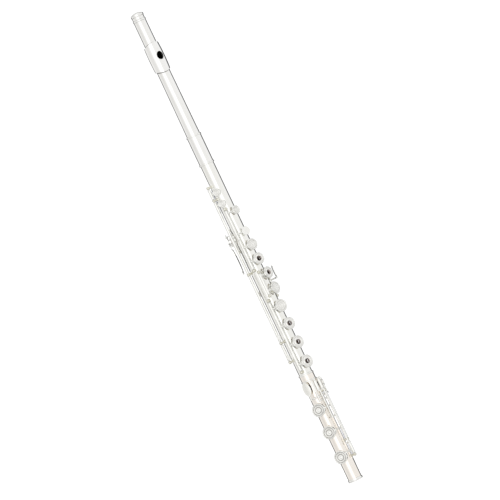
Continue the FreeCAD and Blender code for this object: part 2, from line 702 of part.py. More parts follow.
def cup(label, line, station, radius, ring):
    """A key cup: its solid outside, and the hollow for the pad."""
    edge = dim("cup_edge")
    top = dim("cup_top")
    if ring:
        lip = dim("finger_hole") + dim("lip_of_hole")
        outline = [(0, edge), (radius, edge), (radius, top), (lip + dim("bead_wide"), top),
                   (lip, dim("hole_lip_top")), (0, dim("hole_lip_top"))]
    else:
        bead = radius * dim("bead_share")
        outline = [(0, edge), (radius, edge), (radius, top), (bead + dim("bead_wide"), top),
                   (bead, top - dim("bead_drop"), "dome"), (0, top - dim("dish"))]
    outside = turned(label + "_outside", outline, [(dim("cup_round"), [(radius, top)])])
    facing(outside, line, station)
    pocket = radius - dim("cup_wall")
    floor = edge - PAST
    if ring:
        sleeve = dim("finger_hole") + dim("sleeve_wall")
        inner = [(0, floor), (pocket, floor), (pocket, dim("pocket_top")),
                 (sleeve, dim("pocket_top")), (sleeve, dim("sleeve_edge")),
                 (dim("finger_hole"), dim("sleeve_edge")), (dim("finger_hole"), top + PAST),
                 (0, top + PAST)]
    else:
        inner = [(0, floor), (pocket, floor), (pocket, dim("pocket_top")),
                 (0, dim("pocket_top"))]
    hollow = turned(label + "_hollow", inner)
    facing(hollow, line, station)
    return outside, hollow


def is_small(radius):
    """Whether a cup is one of the vent and trill cups, which take a small washer."""
    return radius.value < dim("index_size").value


def pad(label, line, station, radius, ring):
    """The felt pad in a cup, stepped for the part that holds it in."""
    low = dim("rim_height") + dim("pad_gap")
    step = low + dim("pad_step")
    outer = radius - dim("cup_wall") - dim("pad_fit")
    top = dim("pocket_top")
    if ring:
        hole = dim("finger_hole") + dim("sleeve_wall") + dim("pad_hole_fit")
        flange = dim("sleeve_ring") + dim("pad_step_fit")
    else:
        hole = dim("screw") + dim("pad_hole_fit")
        washer = dim("small_washer") if is_small(radius) else dim("washer")
        flange = washer + dim("pad_step_fit")
    outline = [(hole, step), (flange, step), (flange, low), (outer, low), (outer, top),
               (hole, top)]
    thing = turned(label, outline, [(dim("pad_round"), [(outer, low)])])
    return facing(thing, line, station)


def keeper(label, line, station, radius, ring):
    """What holds a pad: a grommet round a finger hole, or a screw and washer."""
    low = dim("rim_height") + dim("pad_gap") + dim("keeper_rise")
    top = low + dim("washer_thick")
    if ring:
        inner = dim("finger_hole")
        outline = [(inner, low), (dim("sleeve_ring"), low), (dim("sleeve_ring"), top),
                   (inner, top)]
    else:
        flange = dim("small_washer") if is_small(radius) else dim("washer")
        outline = [(0, low), (flange, low), (flange, top), (dim("screw"), top),
                   (dim("screw"), dim("pocket_top")), (0, dim("pocket_top"))]
    return facing(turned(label, outline), line, station)


def pivot_of(rod_name):
    distance, angle = RODS[rod_name]
    return polar(distance, angle)


def swing(thing, rod_name, angle):
    """Turn a finished key about its rod; positive is anticlockwise seen from the crown."""
    x, y = pivot_of(rod_name)
    turn = f"rotation(vector(0; 0; 1); {angle.text})"
    centre = f"vector({x.text}; {y.text}; 0)"
    thing.setExpression("Placement", f"placement(vector(0; 0; 0); {turn}; {centre})")


def swan_arm(label, line, station, side, rise, radius):
    """The bent arm from a rod at (side, rise) up and over to a cup's wall."""
    bow = dim("arm_rise") - rise
    start = side - bow
    curve = bend(label + "_bow", bow, dim("arm"), across(start, rise, line), station,
                 line + 180, QUARTER)
    reach = start - radius + dim("arm_bite")
    over = strut(label + "_over", dim("arm"), across(start, dim("arm_rise"), line), reach,
                 line, station)
    return [curve, over]


def hinge_tube(label, rod_name, top, low, radius, hole):
    spot = pivot_of(rod_name)
    outside = rod(label + "_tube", radius, spot, top, low)
    inside = rod(label + "_tube_bore", hole, spot, top - PAST, low + PAST)
    return outside, inside


def key(label, rod_name, metal, hollows, keepers, angle=None):
    """Join a key's metal, clear its hollows, add the pad holders and swing it to rest."""
    made = cut(label + "_metal", fuse(label + "_blank", metal), hollows)
    whole = group(label, [made] + keepers)
    if angle is not None:
        swing(whole, rod_name, angle)
    return whole


def pads(label, rod_name, cups, angle=None):
    """All pads of one key, swung with it."""
    made = []
    for number, (line, station, radius, ring) in enumerate(cups, start=1):
        made.append(pad(f"{label}_{number}", line, station, radius, ring))
    whole = group(label, made)
    if angle is not None:
        swing(whole, rod_name, angle)


def cups_of(label, cups):
    """Solids, hollows and pad holders of a key's cups."""
    metal = []
    hollows = []
    keepers = []
    for number, (line, station, radius, ring) in enumerate(cups, start=1):
        name = f"{label}_cup_{number}"
        outside, hollow = cup(name, line, station, radius, ring)
        metal.append(outside)
        hollows.append(hollow)
        keepers.append(keeper(name + "_keeper", line, station, radius, ring))
    return metal, hollows, keepers


def finger_key(node, prefix, rod_name, line, cups, extra=()):
    """A key that stands open: hinge tube, one arm to each cup, and anything extra."""
    angle = dim(line)
    spots = [(angle, dim(name + "_cup"), dim(name + "_size"), ring) for name, ring in cups]
    metal, hollows, keepers = cups_of(node, spots)
    tube, inside = hinge_tube(node, rod_name, dim(prefix + "_top"), dim(prefix + "_low"),
                              dim("hinge"), dim("steel") + dim("running"))
    metal = [tube] + metal + list(extra)
    hollows.append(inside)
    for number, (_, station, radius, _) in enumerate(spots, start=1):
        metal += swan_arm(f"{node}_arm_{number}", angle, station, dim("rod_side"),
                          dim("rod_rise"), radius)
    rest = -dim("open_swing")
    key(node, rod_name, metal, hollows, keepers, rest)
    pads(node.replace("_key", "") + "_pad", rod_name, spots, rest)


def spoon(label, angle, station, half_long, half_wide, inner):
    """A curved oval touch that follows the tube at a height above it."""
    outer = inner + dim("spoon_plate")
    shell = ring_shell(label + "_shell", inner, outer, station - half_long - PAST,
                       station + half_long + PAST)
    outline = oval_prism(label + "_outline", half_long, half_wide, angle, station,
                         inner - half_wide, outer + PAST)
    return common(label, [shell, outline])


def make_index_touch():
    """The small dished disc that the first finger presses."""
    radius = dim("index_size")
    low = dim("index_low")
    top = dim("index_high")
    slope = dim("index_slope")
    outline = [(0, low), (radius - slope, low), (radius, low + slope), (radius, top),
               (radius * dim("bead_share"), top, "dome"), (0, top - dim("dish"))]
    disc = turned("index_disc", outline, [(dim("index_round"), [(radius, top)])])
    facing(disc, dim("main_line"), dim("index_touch"))
    arm = swan_arm("index_arm", dim("main_line"), dim("index_touch"), dim("rod_side"),
                   dim("rod_rise"), radius)
    return [disc] + arm


def make_main_keys():
    finger_key("c_key", "upper_c", "main", "main_line", [("vent", False)], make_index_touch())
    finger_key("b_flat_key", "flat", "main", "main_line", [("flat", False)])
    finger_key("a_key", "ring_a", "main", "main_line", [("ring_a", True)])
    finger_key("g_key", "ring_g", "offset", "offset_line", [("ring_g", True), ("low_g", False)])
    finger_key("f_sharp_key", "sharp_f", "main", "main_line", [("sharp_f", False)])
    finger_key("f_key", "ring_f", "main", "main_line", [("ring_f", True)])
    finger_key("e_key", "ring_e", "main", "main_line", [("ring_e", True)])
    finger_key("d_key", "ring_d", "main", "main_line", [("ring_d", True)])


def make_thumb_keys():
    angle = dim("thumb_line")
    station = dim("thumb_cup")
    spots = [(angle, station, dim("thumb_size"), False)]
    metal, hollows, keepers = cups_of("thumb_b_key", spots)
    tube, inside = hinge_tube("thumb_b_key", "thumb", dim("thumb_top"), dim("thumb_low"),
                              dim("hinge"), dim("steel") + dim("running"))
    link_end = dim("thumb_link_to")
    link = ring_shell("thumb_link", dim("thumb_link_from"), link_end, dim("thumb_link_top"),
                      dim("thumb_link_low"), angle - dim("link_half"), dim("link_half") * 2)
    touch = spoon("thumb_spoon_touch", dim("thumb_spoon_angle"), dim("thumb_spoon"),
                  dim("thumb_spoon_long"), dim("thumb_spoon_wide"), dim("thumb_spoon_in"))
    arm = swan_arm("thumb_arm_bar", angle, dim("thumb_arm"), dim("rod_side"), dim("rod_rise"),
                   dim("thumb_size"))
    metal += [tube, link, touch] + arm
    rest = -dim("open_swing")
    key("thumb_b_key", "thumb", metal, hollows + [inside], keepers, rest)
    pads("thumb_b_pad", "thumb", spots, rest)

    distance, rod_direction = RODS["thumb"]
    tube, inside = hinge_tube("thumb_lever", "thumb", dim("lever_top"), dim("lever_low"),
                              dim("hinge"), dim("steel") + dim("running"))
    place = dim("flat_lever_arm")
    arc = dim("flat_lever_arc")
    end = dim("flat_spoon_angle")
    riser = peg("thumb_lever_riser", dim("thin_arm"), rod_direction, place, distance, arc)
    knee = knuckle("thumb_lever_knee", polar(arc, rod_direction), place)
    sweep = bend("thumb_lever_arc", arc, dim("thin_arm"), (ZERO, ZERO), place,
                 rod_direction - QUARTER, end - rod_direction)
    touch = spoon("flat_spoon_touch", end, dim("flat_spoon"), dim("flat_spoon_long"),
                  dim("flat_spoon_wide"), dim("flat_spoon_in"))
    key("thumb_b_flat_lever", "thumb", [tube, riser, knee, sweep, touch], [inside], [], rest)


def make_g_sharp_key():
    angle = dim("sharp_line")
    distance, rod_direction = RODS["sharp"]
    side = distance * sine(angle - rod_direction)
    rise = distance * cosine(angle - rod_direction)
    spots = [(angle, dim("sharp_g_cup"), dim("sharp_g_size"), False)]
    metal, hollows, keepers = cups_of("g_sharp_key", spots)
    tube, inside = hinge_tube("g_sharp_key", "sharp", dim("sharp_g_top"), dim("sharp_g_low"),
                              dim("hinge"), dim("steel") + dim("running"))
    place = dim("sharp_arm")
    arc = dim("sharp_arc")
    end = dim("sharp_spoon_angle")
    riser = peg("g_sharp_riser", dim("thin_arm"), rod_direction, place, distance, arc)
    knee = knuckle("g_sharp_knee", polar(arc, rod_direction), place)
    sweep = bend("g_sharp_arc", arc, dim("thin_arm"), (ZERO, ZERO), place, end - QUARTER,
                 rod_direction - end)
    touch = spoon("g_sharp_touch", end, dim("sharp_spoon"), dim("sharp_spoon_long"),
                  dim("sharp_spoon_wide"), dim("sharp_spoon_in"))
    metal += [tube, riser, knee, sweep, touch]
    metal += swan_arm("g_sharp_arm", angle, dim("sharp_g_cup"), side, rise, dim("sharp_g_size"))
    key("g_sharp_key", "sharp", metal, hollows + [inside], keepers)
    pads("g_sharp_pad", "sharp", spots)


def trill_cup_parts(label, station):
    """A trill cup with the short bar that joins it to the rod."""
    line = dim("trill_line")
    distance, direction = RODS["trill"]
    side = distance * sine(line - direction)
    spots = [(line, station, dim("trill_size"), False)]
    metal, hollows, keepers = cups_of(label, spots)
    reach = side - dim("trill_size") + dim("arm_bite")
    bar = strut(label + "_bar", dim("trill_bar"), across(side, dim("trill_arm_rise"), line),
                reach, line, station)
    return metal + [bar], hollows, keepers, spots


def trill_touch_parts(label, station):
    """A round touch on a slanting bar, on the player's side of the trill rod."""
    start = pivot_of("trill")
    rise = dim("touch_rise")
    side = dim("touch_side")
    run_side = side + start[0]
    run_rise = rise + start[1]
    length = Size(f"sqrt({run_side.text} ^ 2 + {run_rise.text} ^ 2)",
                  math.hypot(run_side.value, run_rise.value))
    lean = Size(f"(atan2(0 - {run_rise.text}; 0 - {run_side.text}) / 1 deg)",
                math.degrees(math.atan2(-run_rise.value, -run_side.value)))
    bar = strut(label + "_bar", dim("thin_arm"), start, length, lean, station)
    disc = dim("touch_disc")
    thick = dim("touch_thick")
    slope = dim("touch_slope")
    outline = [(0, 0), (disc - slope, 0), (disc, slope), (disc, thick, "dome"),
               (0, thick + dim("touch_dome"))]
    button = turned(label + "_button", outline, [(dim("touch_round"), [(disc, thick)])])
    put(button, -side, -rise, height(station), ZERO, 0, 90)
    return [bar, button]


def make_trill_keys():
    metal, hollows, keepers, spots = trill_cup_parts("d_trill_key", dim("trill_cup"))
    tube, inside = hinge_tube("d_trill_key", "trill", dim("trill_top"), dim("trill_low"),
                              dim("trill_hinge"), dim("steel") + dim("running"))
    metal += [tube] + trill_touch_parts("d_trill_touch", dim("trill_touch"))
    key("d_trill_key", "trill", metal, hollows + [inside], keepers)
    pads("d_trill_pad", "trill", spots)

    pinned = dim("steel") - dim("pinned")
    metal, hollows, keepers, spots = trill_cup_parts("d_sharp_trill", dim("sharp_trill_cup"))
    tube, inside = hinge_tube("d_sharp_upper", "trill", dim("sharp_trill_top"),
                              dim("sharp_trill_low"), dim("trill_hinge"), pinned)
    upper = cut("d_sharp_trill_upper", fuse("d_sharp_upper_blank", metal + [tube]),
                hollows + [inside])
    tube, inside = hinge_tube("d_sharp_lower", "trill", dim("sharp_trill_arm_top"),
                              dim("sharp_trill_arm_low"), dim("trill_hinge"), pinned)
    touch = trill_touch_parts("d_sharp_trill_touch", dim("sharp_trill_touch"))
    lower = cut("d_sharp_trill_lower", fuse("d_sharp_lower_blank", touch + [tube]), [inside])
    group("d_sharp_trill_key", [upper, lower] + keepers)
    pads("d_sharp_trill_pad", "trill", spots)


# --- Foot keys ---

def foot_cup_arm(label, station, radius):
    """The arm from the foot rod round the tube and up to a cup."""
    line = dim("foot_line")
    arc = dim("foot_arc")
    side = -dim("foot_elbow_side")
    low = dim("foot_elbow_rise")
    top = dim("foot_arm_rise")
    bow_angle = Size("(dims.foot_line + atan(dims.foot_elbow_side / dims.foot_elbow_rise) / 1 deg)",
                     line.value + math.degrees(math.atan2(-side.value, low.value)))
    sweep = bend(label + "_arc", arc, dim("thin_arm"), (ZERO, ZERO), station,
                 bow_angle - QUARTER, dim("foot_rod_angle") - bow_angle)
    elbow = knuckle(label + "_elbow", across(side, low, line), station)
    x, y = across(side, low, line)
    riser = doc.addObject("Part::Cylinder", label + "_riser")
    bind(riser, Radius=dim("thin_arm"), Height=top - low)
    put(riser, x, y, height(station), line, 0, 90)
    knee = knuckle(label + "_knee", across(side, top, line), station)
    reach = dim("foot_elbow_side") - radius + dim("arm_bite")
    over = strut(label + "_over", dim("thin_arm"), across(side + reach, top, line), reach,
                 line, station)
    return [sweep, elbow, riser, knee, over]


def low_arc(label, station, end):
    """An arm that follows the foot tube closely from the rod to an angle."""
    start = dim("foot_rod_angle")
    return bend(label, dim("foot_arc"), dim("thin_arm"), (ZERO, ZERO), station,
                end - QUARTER, start - end)


def lever_bar(label, angle, top, low, rise=ZERO):
    spot = polar(dim("lever_height") + rise, angle)
    return rod(label, dim("lever_bar"), spot, top, low + dim("overrun"))


def lever_riser(label, angle, station, rise=ZERO):
    outer = dim("lever_height") + rise + dim("overrun")
    return [
        peg(label, dim("lever"), angle, station, dim("foot_arc"), outer),
        knuckle(label + "_elbow", polar(dim("foot_arc"), angle), station),
    ]


def roller_fork(label, angle, rise=ZERO):
    """Two lugs and the pin that carries a roller between them."""
    spot = polar(dim("roller_height") + rise, angle)
    middle = dim("touch_station")
    inner = dim("lug_in")
    outer = dim("lug_out")
    return [
        rod(label + "_upper_lug", dim("lug"), spot, middle - outer, middle - inner),
        rod(label + "_lower_lug", dim("lug"), spot, middle + inner, middle + outer),
        rod(label + "_pin", dim("roller_pin"), spot, middle - outer, middle + outer),
    ]


def roller(label, angle, rise):
    half = dim("roller_half")
    size = dim("roller")
    bore = dim("roller_bore")
    outline = [(bore, -half), (size, -half), (size, half), (bore, half)]
    thing = turned(label, outline, [(dim("roller_round"), [(size, -half), (size, half)])])
    x, y = polar(dim("roller_height") + rise, angle)
    return put(thing, x, y, height(dim("touch_station")))


def foot_tube_parts(label, prefix):
    return hinge_tube(label, "foot", dim(prefix + "_top"), dim(prefix + "_low"), dim("hinge"),
                      dim("steel") + dim("running"))


def foot_key(node, prefix, arm_station, levers):
    """A foot key that stands open, with the lever that works it."""
    station = dim(prefix + "_cup")
    spots = [(dim("foot_line"), station, dim(prefix + "_size"), False)]
    metal, hollows, keepers = cups_of(node, spots)
    tube, inside = foot_tube_parts(node, prefix)
    metal += [tube] + foot_cup_arm(node + "_arm", arm_station, dim(prefix + "_size")) + levers
    rest = dim("foot_swing")
    key(node, "foot", metal, hollows + [inside], keepers, rest)
    pads(node.replace("_key", "") + "_pad", "foot", spots, rest)


def make_foot_keys():
    middle = dim("touch_station")
    inset = dim("touch_inset")
    angle = dim("low_c_sharp_spoon_angle")
    place = dim("low_c_sharp_lever")
    levers = [low_arc("low_c_sharp_low_arc", place, angle)]
    levers += lever_riser("low_c_sharp_riser", angle, place)
    levers.append(lever_bar("low_c_sharp_bar", angle, middle + inset, place))
    levers.append(spoon("low_c_sharp_touch", angle, middle, dim("low_c_sharp_spoon_long"),
                        dim("low_c_sharp_spoon_wide"), dim("low_c_sharp_spoon_in")))
    foot_key("low_c_sharp_key", "low_c_sharp", dim("low_c_sharp_cup"), levers)

    angle = dim("low_c_lever_angle")
    place = dim("low_c_lever")
    lug_end = middle + dim("lever_start")
    levers = [low_arc("low_c_low_arc", place, angle)]
    levers += lever_riser("low_c_riser", angle, place)
    levers.append(lever_bar("low_c_bar", angle, lug_end, place))
    levers += roller_fork("low_c_fork", dim("low_c_roller_angle"))
    foot_key("low_c_key", "low_c", dim("low_c_cup"), levers)

    angle = dim("low_b_lever_angle")
    place = dim("low_b_lever")
    rise = dim("low_b_rise")
    levers = [low_arc("low_b_low_arc", place, angle)]
    levers += lever_riser("low_b_riser", angle, place, rise)
    levers.append(lever_bar("low_b_bar", angle, lug_end, place, rise))
    levers += roller_fork("low_b_fork", dim("low_b_roller_angle"), rise)
    foot_key("low_b_key", "low_b", dim("low_b_arm"), levers)

    for label, fork_angle, lift in (("c_roller", "low_c_roller_angle", ZERO),
                                    ("b_roller", "low_b_roller_angle", rise)):
        made = roller(label + "_barrel", dim(fork_angle), lift)
        whole = group(label, [made])
        swing(whole, "foot", dim("foot_swing"))
    make_low_d_sharp_key()


def make_low_d_sharp_key():
    """The little-finger key that stands closed: its cup is beyond the rod from its touch."""
    line = dim("low_sharp_line")
    distance, direction = RODS["foot"]
    side = distance * sine(line - direction)
    rise = distance * cosine(line - direction)
    station = dim("low_d_cup")
    spots = [(line, station, dim("low_d_size"), False)]
    metal, hollows, keepers = cups_of("low_d_sharp_key", spots)
    tube, inside = foot_tube_parts("low_d_sharp_key", "low_d")
    place = dim("low_d_arm")
    metal += [tube] + swan_arm("low_d_arm", line, place, side, rise, dim("low_d_size"))
    corner = dim("low_d_size") - dim("arm_bite")
    elbow = across(corner, dim("arm_rise"), line)
    metal.append(rod("low_d_bar", dim("low_d_bar"), elbow, station + dim("low_d_bar_start"),
                     place + dim("arm")))
    angle = dim("low_d_spoon_angle")
    lever = dim("low_d_lever")
    middle = dim("touch_station")
    metal.append(low_arc("low_d_low_arc", lever, angle))
    metal += lever_riser("low_d_riser", angle, lever)
    metal.append(lever_bar("low_d_lever_bar", angle, middle + dim("touch_inset"), lever))
    metal.append(spoon("low_d_touch", angle, middle, dim("low_d_spoon_long"),
                       dim("low_d_spoon_wide"), dim("low_d_spoon_in")))
    key("low_d_sharp_key", "foot", metal, hollows + [inside], keepers)
    pads("low_d_sharp_pad", "foot", spots)


NODES = """
body_tube barrel body_rings main_rib side_ribs body_posts upper_steel lower_steel short_steels
body_springs head_tube lip_plate riser crown stopper_rod stopper_cork reflector_plate
foot_tube foot_socket foot_rings foot_rib foot_posts foot_steel foot_springs trill_steel
c_key b_flat_key a_key g_key g_sharp_key f_sharp_key f_key e_key d_key thumb_b_key
thumb_b_flat_lever d_trill_key d_sharp_trill_key low_d_sharp_key low_c_sharp_key low_c_key
low_b_key c_roller b_roller c_pad b_flat_pad a_pad g_pad g_sharp_pad f_sharp_pad f_pad e_pad
d_pad thumb_b_pad d_trill_pad d_sharp_trill_pad low_d_sharp_pad low_c_sharp_pad low_c_pad
low_b_pad
""".split()


def write_parts():
    """Check every object, then write one STEP file for each sub-part."""
    failed = [thing.Name for thing in doc.Objects
              if "Invalid" in thing.State or "Error" in thing.State]
    for node in NODES:
        found = doc.getObjectsByLabel(node)
        if not found or found[0].Shape.isNull() or not found[0].Shape.isValid():
            failed.append(node)
    if failed:
        raise RuntimeError("these did not build: " + ", ".join(failed))
    os.makedirs("parts", exist_ok=True)
    for node in NODES:
        doc.getObjectsByLabel(node)[0].Shape.exportStep(f"parts/{node}.step")


tube_with_holes("body_tube", dim("body_start"), dim("body_end"), TONE_HOLES)
make_barrel()
make_head()
make_crown()
make_stopper()
make_foot_tube()
make_ribs_and_posts()
make_steels()
make_springs()
make_main_keys()
make_thumb_keys()
make_g_sharp_key()
make_trill_keys()
make_foot_keys()
doc.recompute()
write_parts()
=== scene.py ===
"""The looks of a concert flute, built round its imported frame, in metres."""

import json
import math

import bmesh
import bpy
from mathutils import Matrix, Vector


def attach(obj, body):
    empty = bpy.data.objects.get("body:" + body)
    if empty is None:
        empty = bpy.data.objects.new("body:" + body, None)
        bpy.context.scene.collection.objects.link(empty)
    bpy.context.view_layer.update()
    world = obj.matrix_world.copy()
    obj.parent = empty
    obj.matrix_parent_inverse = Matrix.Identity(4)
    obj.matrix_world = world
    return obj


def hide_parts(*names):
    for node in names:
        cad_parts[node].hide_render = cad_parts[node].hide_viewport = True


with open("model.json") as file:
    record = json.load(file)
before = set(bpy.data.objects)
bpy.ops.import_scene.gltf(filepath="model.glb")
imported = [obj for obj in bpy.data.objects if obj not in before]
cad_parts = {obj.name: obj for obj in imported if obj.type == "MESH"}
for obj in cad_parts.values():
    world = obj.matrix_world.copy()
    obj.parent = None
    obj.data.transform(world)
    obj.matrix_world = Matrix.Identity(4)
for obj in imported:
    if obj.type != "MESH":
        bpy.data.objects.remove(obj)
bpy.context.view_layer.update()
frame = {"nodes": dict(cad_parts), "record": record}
nodes = frame["nodes"]

MM = 0.001
FOOT_END = 645.0


# --- Places on the flute: stations in mm from the blow hole, angles round the bore ---

def outward(angle):
    turn = math.radians(angle)
    return Vector((math.sin(turn), -math.cos(turn), 0))


# --- Camera, floor and light ---

VIEW_AZIMUTH = 318
VIEW_ROLL = 25.23
VIEW_WIDTH = 0.6897
LENS = 400
SENSOR = 36
AIM_HEIGHT = 0.3493
AIM_SIDE = 0.0031
FLOOR_RADIUS = 0.5
FLOOR_DROP = 0.0005
BACKDROP = (1.1, 1.1, 1.1, 1)

# Degrees round from the camera's side, brightness, warmth
WALLS = [
    (-180, 1.15, 0.0), (-172, 1.10, 0.0), (-166, 0.10, 0.0), (-134, 0.12, 0.0),
    (-122, 0.90, 0.02), (-104, 0.92, 0.02), (-84, 0.82, 0.03), (-55, 0.82, 0.03),
    (-34, 1.00, 0.02), (-20, 1.25, 0.0), (6, 1.25, 0.0), (20, 0.93, 0.02), (45, 0.92, 0.02),
    (88, 0.94, 0.01), (112, 0.96, 0.0), (126, 0.12, 0.0), (166, 0.10, 0.0), (172, 1.10, 0.0),
    (180, 1.15, 0.0),
]

# Height of the direction looked in, from straight down 0 to straight up 1, brightness, warmth
HEIGHTS = [
    (0.0, 0.75, 0.02), (0.12, 0.75, 0.02), (0.22, 0.3, 0.04), (0.5, 0.9, 0.02), (0.78, 0.3, 0.04),
    (0.86, 0.8, 0.02), (1.0, 1.2, 0.0),
]
# How steep a direction is where the walls start to give way to floor and ceiling, and have gone
WALLS_FADE = (0.35, 0.6)


def make_camera():
    turn = math.radians(VIEW_AZIMUTH)
    roll = math.radians(VIEW_ROLL)
    back = Vector((math.sin(turn), -math.cos(turn), 0))
    level = Vector((-back.y, back.x, 0))
    up = level * math.sin(roll) + Vector((0, 0, 1)) * math.cos(roll)
    right = up.cross(back)
    aim = level * AIM_SIDE + Vector((0, 0, AIM_HEIGHT))
    data = bpy.data.cameras.new("main_camera")
    data.lens = LENS
    data.sensor_width = SENSOR
    data.clip_end = 40
    camera = bpy.data.objects.new("main_camera", data)
    bpy.context.collection.objects.link(camera)
    place = Matrix((right, up, back)).transposed().to_4x4()
    place.translation = aim + back * (VIEW_WIDTH * LENS / SENSOR)
    camera.matrix_world = place
    bpy.context.scene.camera = camera


def ramp(tree, factor, stops):
    """A colour ramp through (position, colour) stops."""
    node = tree.nodes.new("ShaderNodeValToRGB")
    band = node.color_ramp
    band.elements[0].position = stops[0][0]
    band.elements[0].color = (*stops[0][1], 1)
    band.elements[1].position = stops[-1][0]
    band.elements[1].color = (*stops[-1][1], 1)
    for position, colour in stops[1:-1]:
        band.elements.new(position).color = (*colour, 1)
    tree.links.new(factor, node.inputs["Fac"])
    return node.outputs["Color"]


def maths(tree, operation, first, second=0.0):
    node = tree.nodes.new("ShaderNodeMath")
    node.operation = operation
    for socket, value in zip(node.inputs, (first, second)):
        if isinstance(value, (int, float)):
            socket.default_value = value
        else:
            tree.links.new(value, socket)
    return node.outputs[0]


def grey(level, warm=0.0):
    return (level, level * (1 - warm * 0.4), level * (1 - warm))


def make_world():
    """A white studio: bright before the flute, paler at its sides, with two dark flags behind."""
    world = bpy.data.worlds.new("studio")
    world.use_nodes = True
    bpy.context.scene.world = world
    tree = world.node_tree
    tree.nodes.clear()
    where = tree.nodes.new("ShaderNodeTexCoord").outputs["Generated"]
    split = tree.nodes.new("ShaderNodeSeparateXYZ")
    tree.links.new(where, split.inputs[0])
    away = maths(tree, "MULTIPLY", split.outputs["Y"], -1)
    turn = maths(tree, "ARCTAN2", split.outputs["X"], away)
    share = maths(tree, "DIVIDE", turn, 2 * math.pi)
    share = maths(tree, "FRACT", maths(tree, "ADD", share, 0.5 - VIEW_AZIMUTH / 360 + 2))
    walls = ramp(tree, share, [(0.5 + degrees / 360, grey(level, warm))
                               for degrees, level, warm in WALLS])
    heights = maths(tree, "MULTIPLY_ADD", split.outputs["Z"], 0.5)
    heights.node.inputs[2].default_value = 0.5
    ceiling = ramp(tree, heights, [(position, grey(level, warm))
                                   for position, level, warm in HEIGHTS])
    blend = tree.nodes.new("ShaderNodeMapRange")
    blend.interpolation_type = "SMOOTHSTEP"
    blend.inputs["From Min"].default_value = WALLS_FADE[0]
    blend.inputs["From Max"].default_value = WALLS_FADE[1]
    tree.links.new(maths(tree, "ABSOLUTE", split.outputs["Z"]), blend.inputs["Value"])
    mix = tree.nodes.new("ShaderNodeMix")
    mix.data_type = "RGBA"
    tree.links.new(blend.outputs["Result"], mix.inputs["Factor"])
    tree.links.new(walls, mix.inputs["A"])
    tree.links.new(ceiling, mix.inputs["B"])
    lit = tree.nodes.new("ShaderNodeBackground")
    tree.links.new(mix.outputs["Result"], lit.inputs["Color"])
    plain = tree.nodes.new("ShaderNodeBackground")
    plain.inputs["Color"].default_value = BACKDROP
    seen = tree.nodes.new("ShaderNodeLightPath").outputs["Is Camera Ray"]
    choose = tree.nodes.new("ShaderNodeMixShader")
    tree.links.new(seen, choose.inputs[0])
    tree.links.new(lit.outputs[0], choose.inputs[1])
    tree.links.new(plain.outputs[0], choose.inputs[2])
    out = tree.nodes.new("ShaderNodeOutputWorld")
    tree.links.new(choose.outputs[0], out.inputs["Surface"])


def make_floor():
    bpy.ops.mesh.primitive_circle_add(vertices=128, radius=FLOOR_RADIUS, fill_type="NGON",
                                      location=(0, 0, -FLOOR_DROP))
    floor = bpy.context.active_object
    floor.name = "pale_floor"
    material = bpy.data.materials.new("pale_floor")
    material.use_nodes = True
    shader = material.node_tree.nodes["Principled BSDF"]
    shader.inputs["Base Color"].default_value = (0.93, 0.93, 0.925, 1)
    shader.inputs["Roughness"].default_value = 0.9
    shader.inputs["Emission Color"].default_value = (1, 1, 1, 1)
    shader.inputs["Emission Strength"].default_value = 0.5
    floor.data.materials.append(material)
    floor.visible_glossy = False


# --- Materials ---

def new_material(name):
    material = bpy.data.materials.new(name)
    material.use_nodes = True
    return material, material.node_tree, material.node_tree.nodes["Principled BSDF"]


def scaled_place(tree, scale):
    """Object coordinates, in metres, stretched by a scale."""
    place = tree.nodes.new("ShaderNodeTexCoord").outputs["Object"]
    mapping = tree.nodes.new("ShaderNodeMapping")
    mapping.inputs["Scale"].default_value = scale
    tree.links.new(place, mapping.inputs["Vector"])
    return mapping.outputs["Vector"]


def noise(tree, scale, size, detail=3.0, rough=0.5):
    node = tree.nodes.new("ShaderNodeTexNoise")
    node.inputs["Scale"].default_value = size
    node.inputs["Detail"].default_value = detail
    node.inputs["Roughness"].default_value = rough
    tree.links.new(scaled_place(tree, scale), node.inputs["Vector"])
    return node.outputs["Fac"]


def bump(tree, shader, heights, strength, distance):
    node = tree.nodes.new("ShaderNodeBump")
    node.inputs["Strength"].default_value = strength
    node.inputs["Distance"].default_value = distance
    tree.links.new(heights, node.inputs["Height"])
    tree.links.new(node.outputs["Normal"], shader.inputs["Normal"])


def spread(tree, value, low, high):
    node = tree.nodes.new("ShaderNodeMapRange")
    node.inputs["To Min"].default_value = low
    node.inputs["To Max"].default_value = high
    tree.links.new(value, node.inputs["Value"])
    return node.outputs["Result"]


def make_metal(name, bright, toned, smooth, worn, grain):
    """Buffed metal: clouds of faint tone, and fine polishing lines along a grain."""
    material, tree, shader = new_material(name)
    shader.inputs["Metallic"].default_value = 1.0
    clouds = noise(tree, (1, 1, 0.4), 55, 4)
    colour = ramp(tree, clouds, [(0.3, bright), (0.72, toned)])
    tree.links.new(colour, shader.inputs["Base Color"])
    lines = noise(tree, grain, 2600, 2, 0.6)
    rough = spread(tree, clouds, smooth, worn)
    rough = maths(tree, "ADD", rough, spread(tree, lines, -0.01, 0.02))
    tree.links.new(rough, shader.inputs["Roughness"])
    bump(tree, shader, lines, 0.05, 0.00001)
    return material


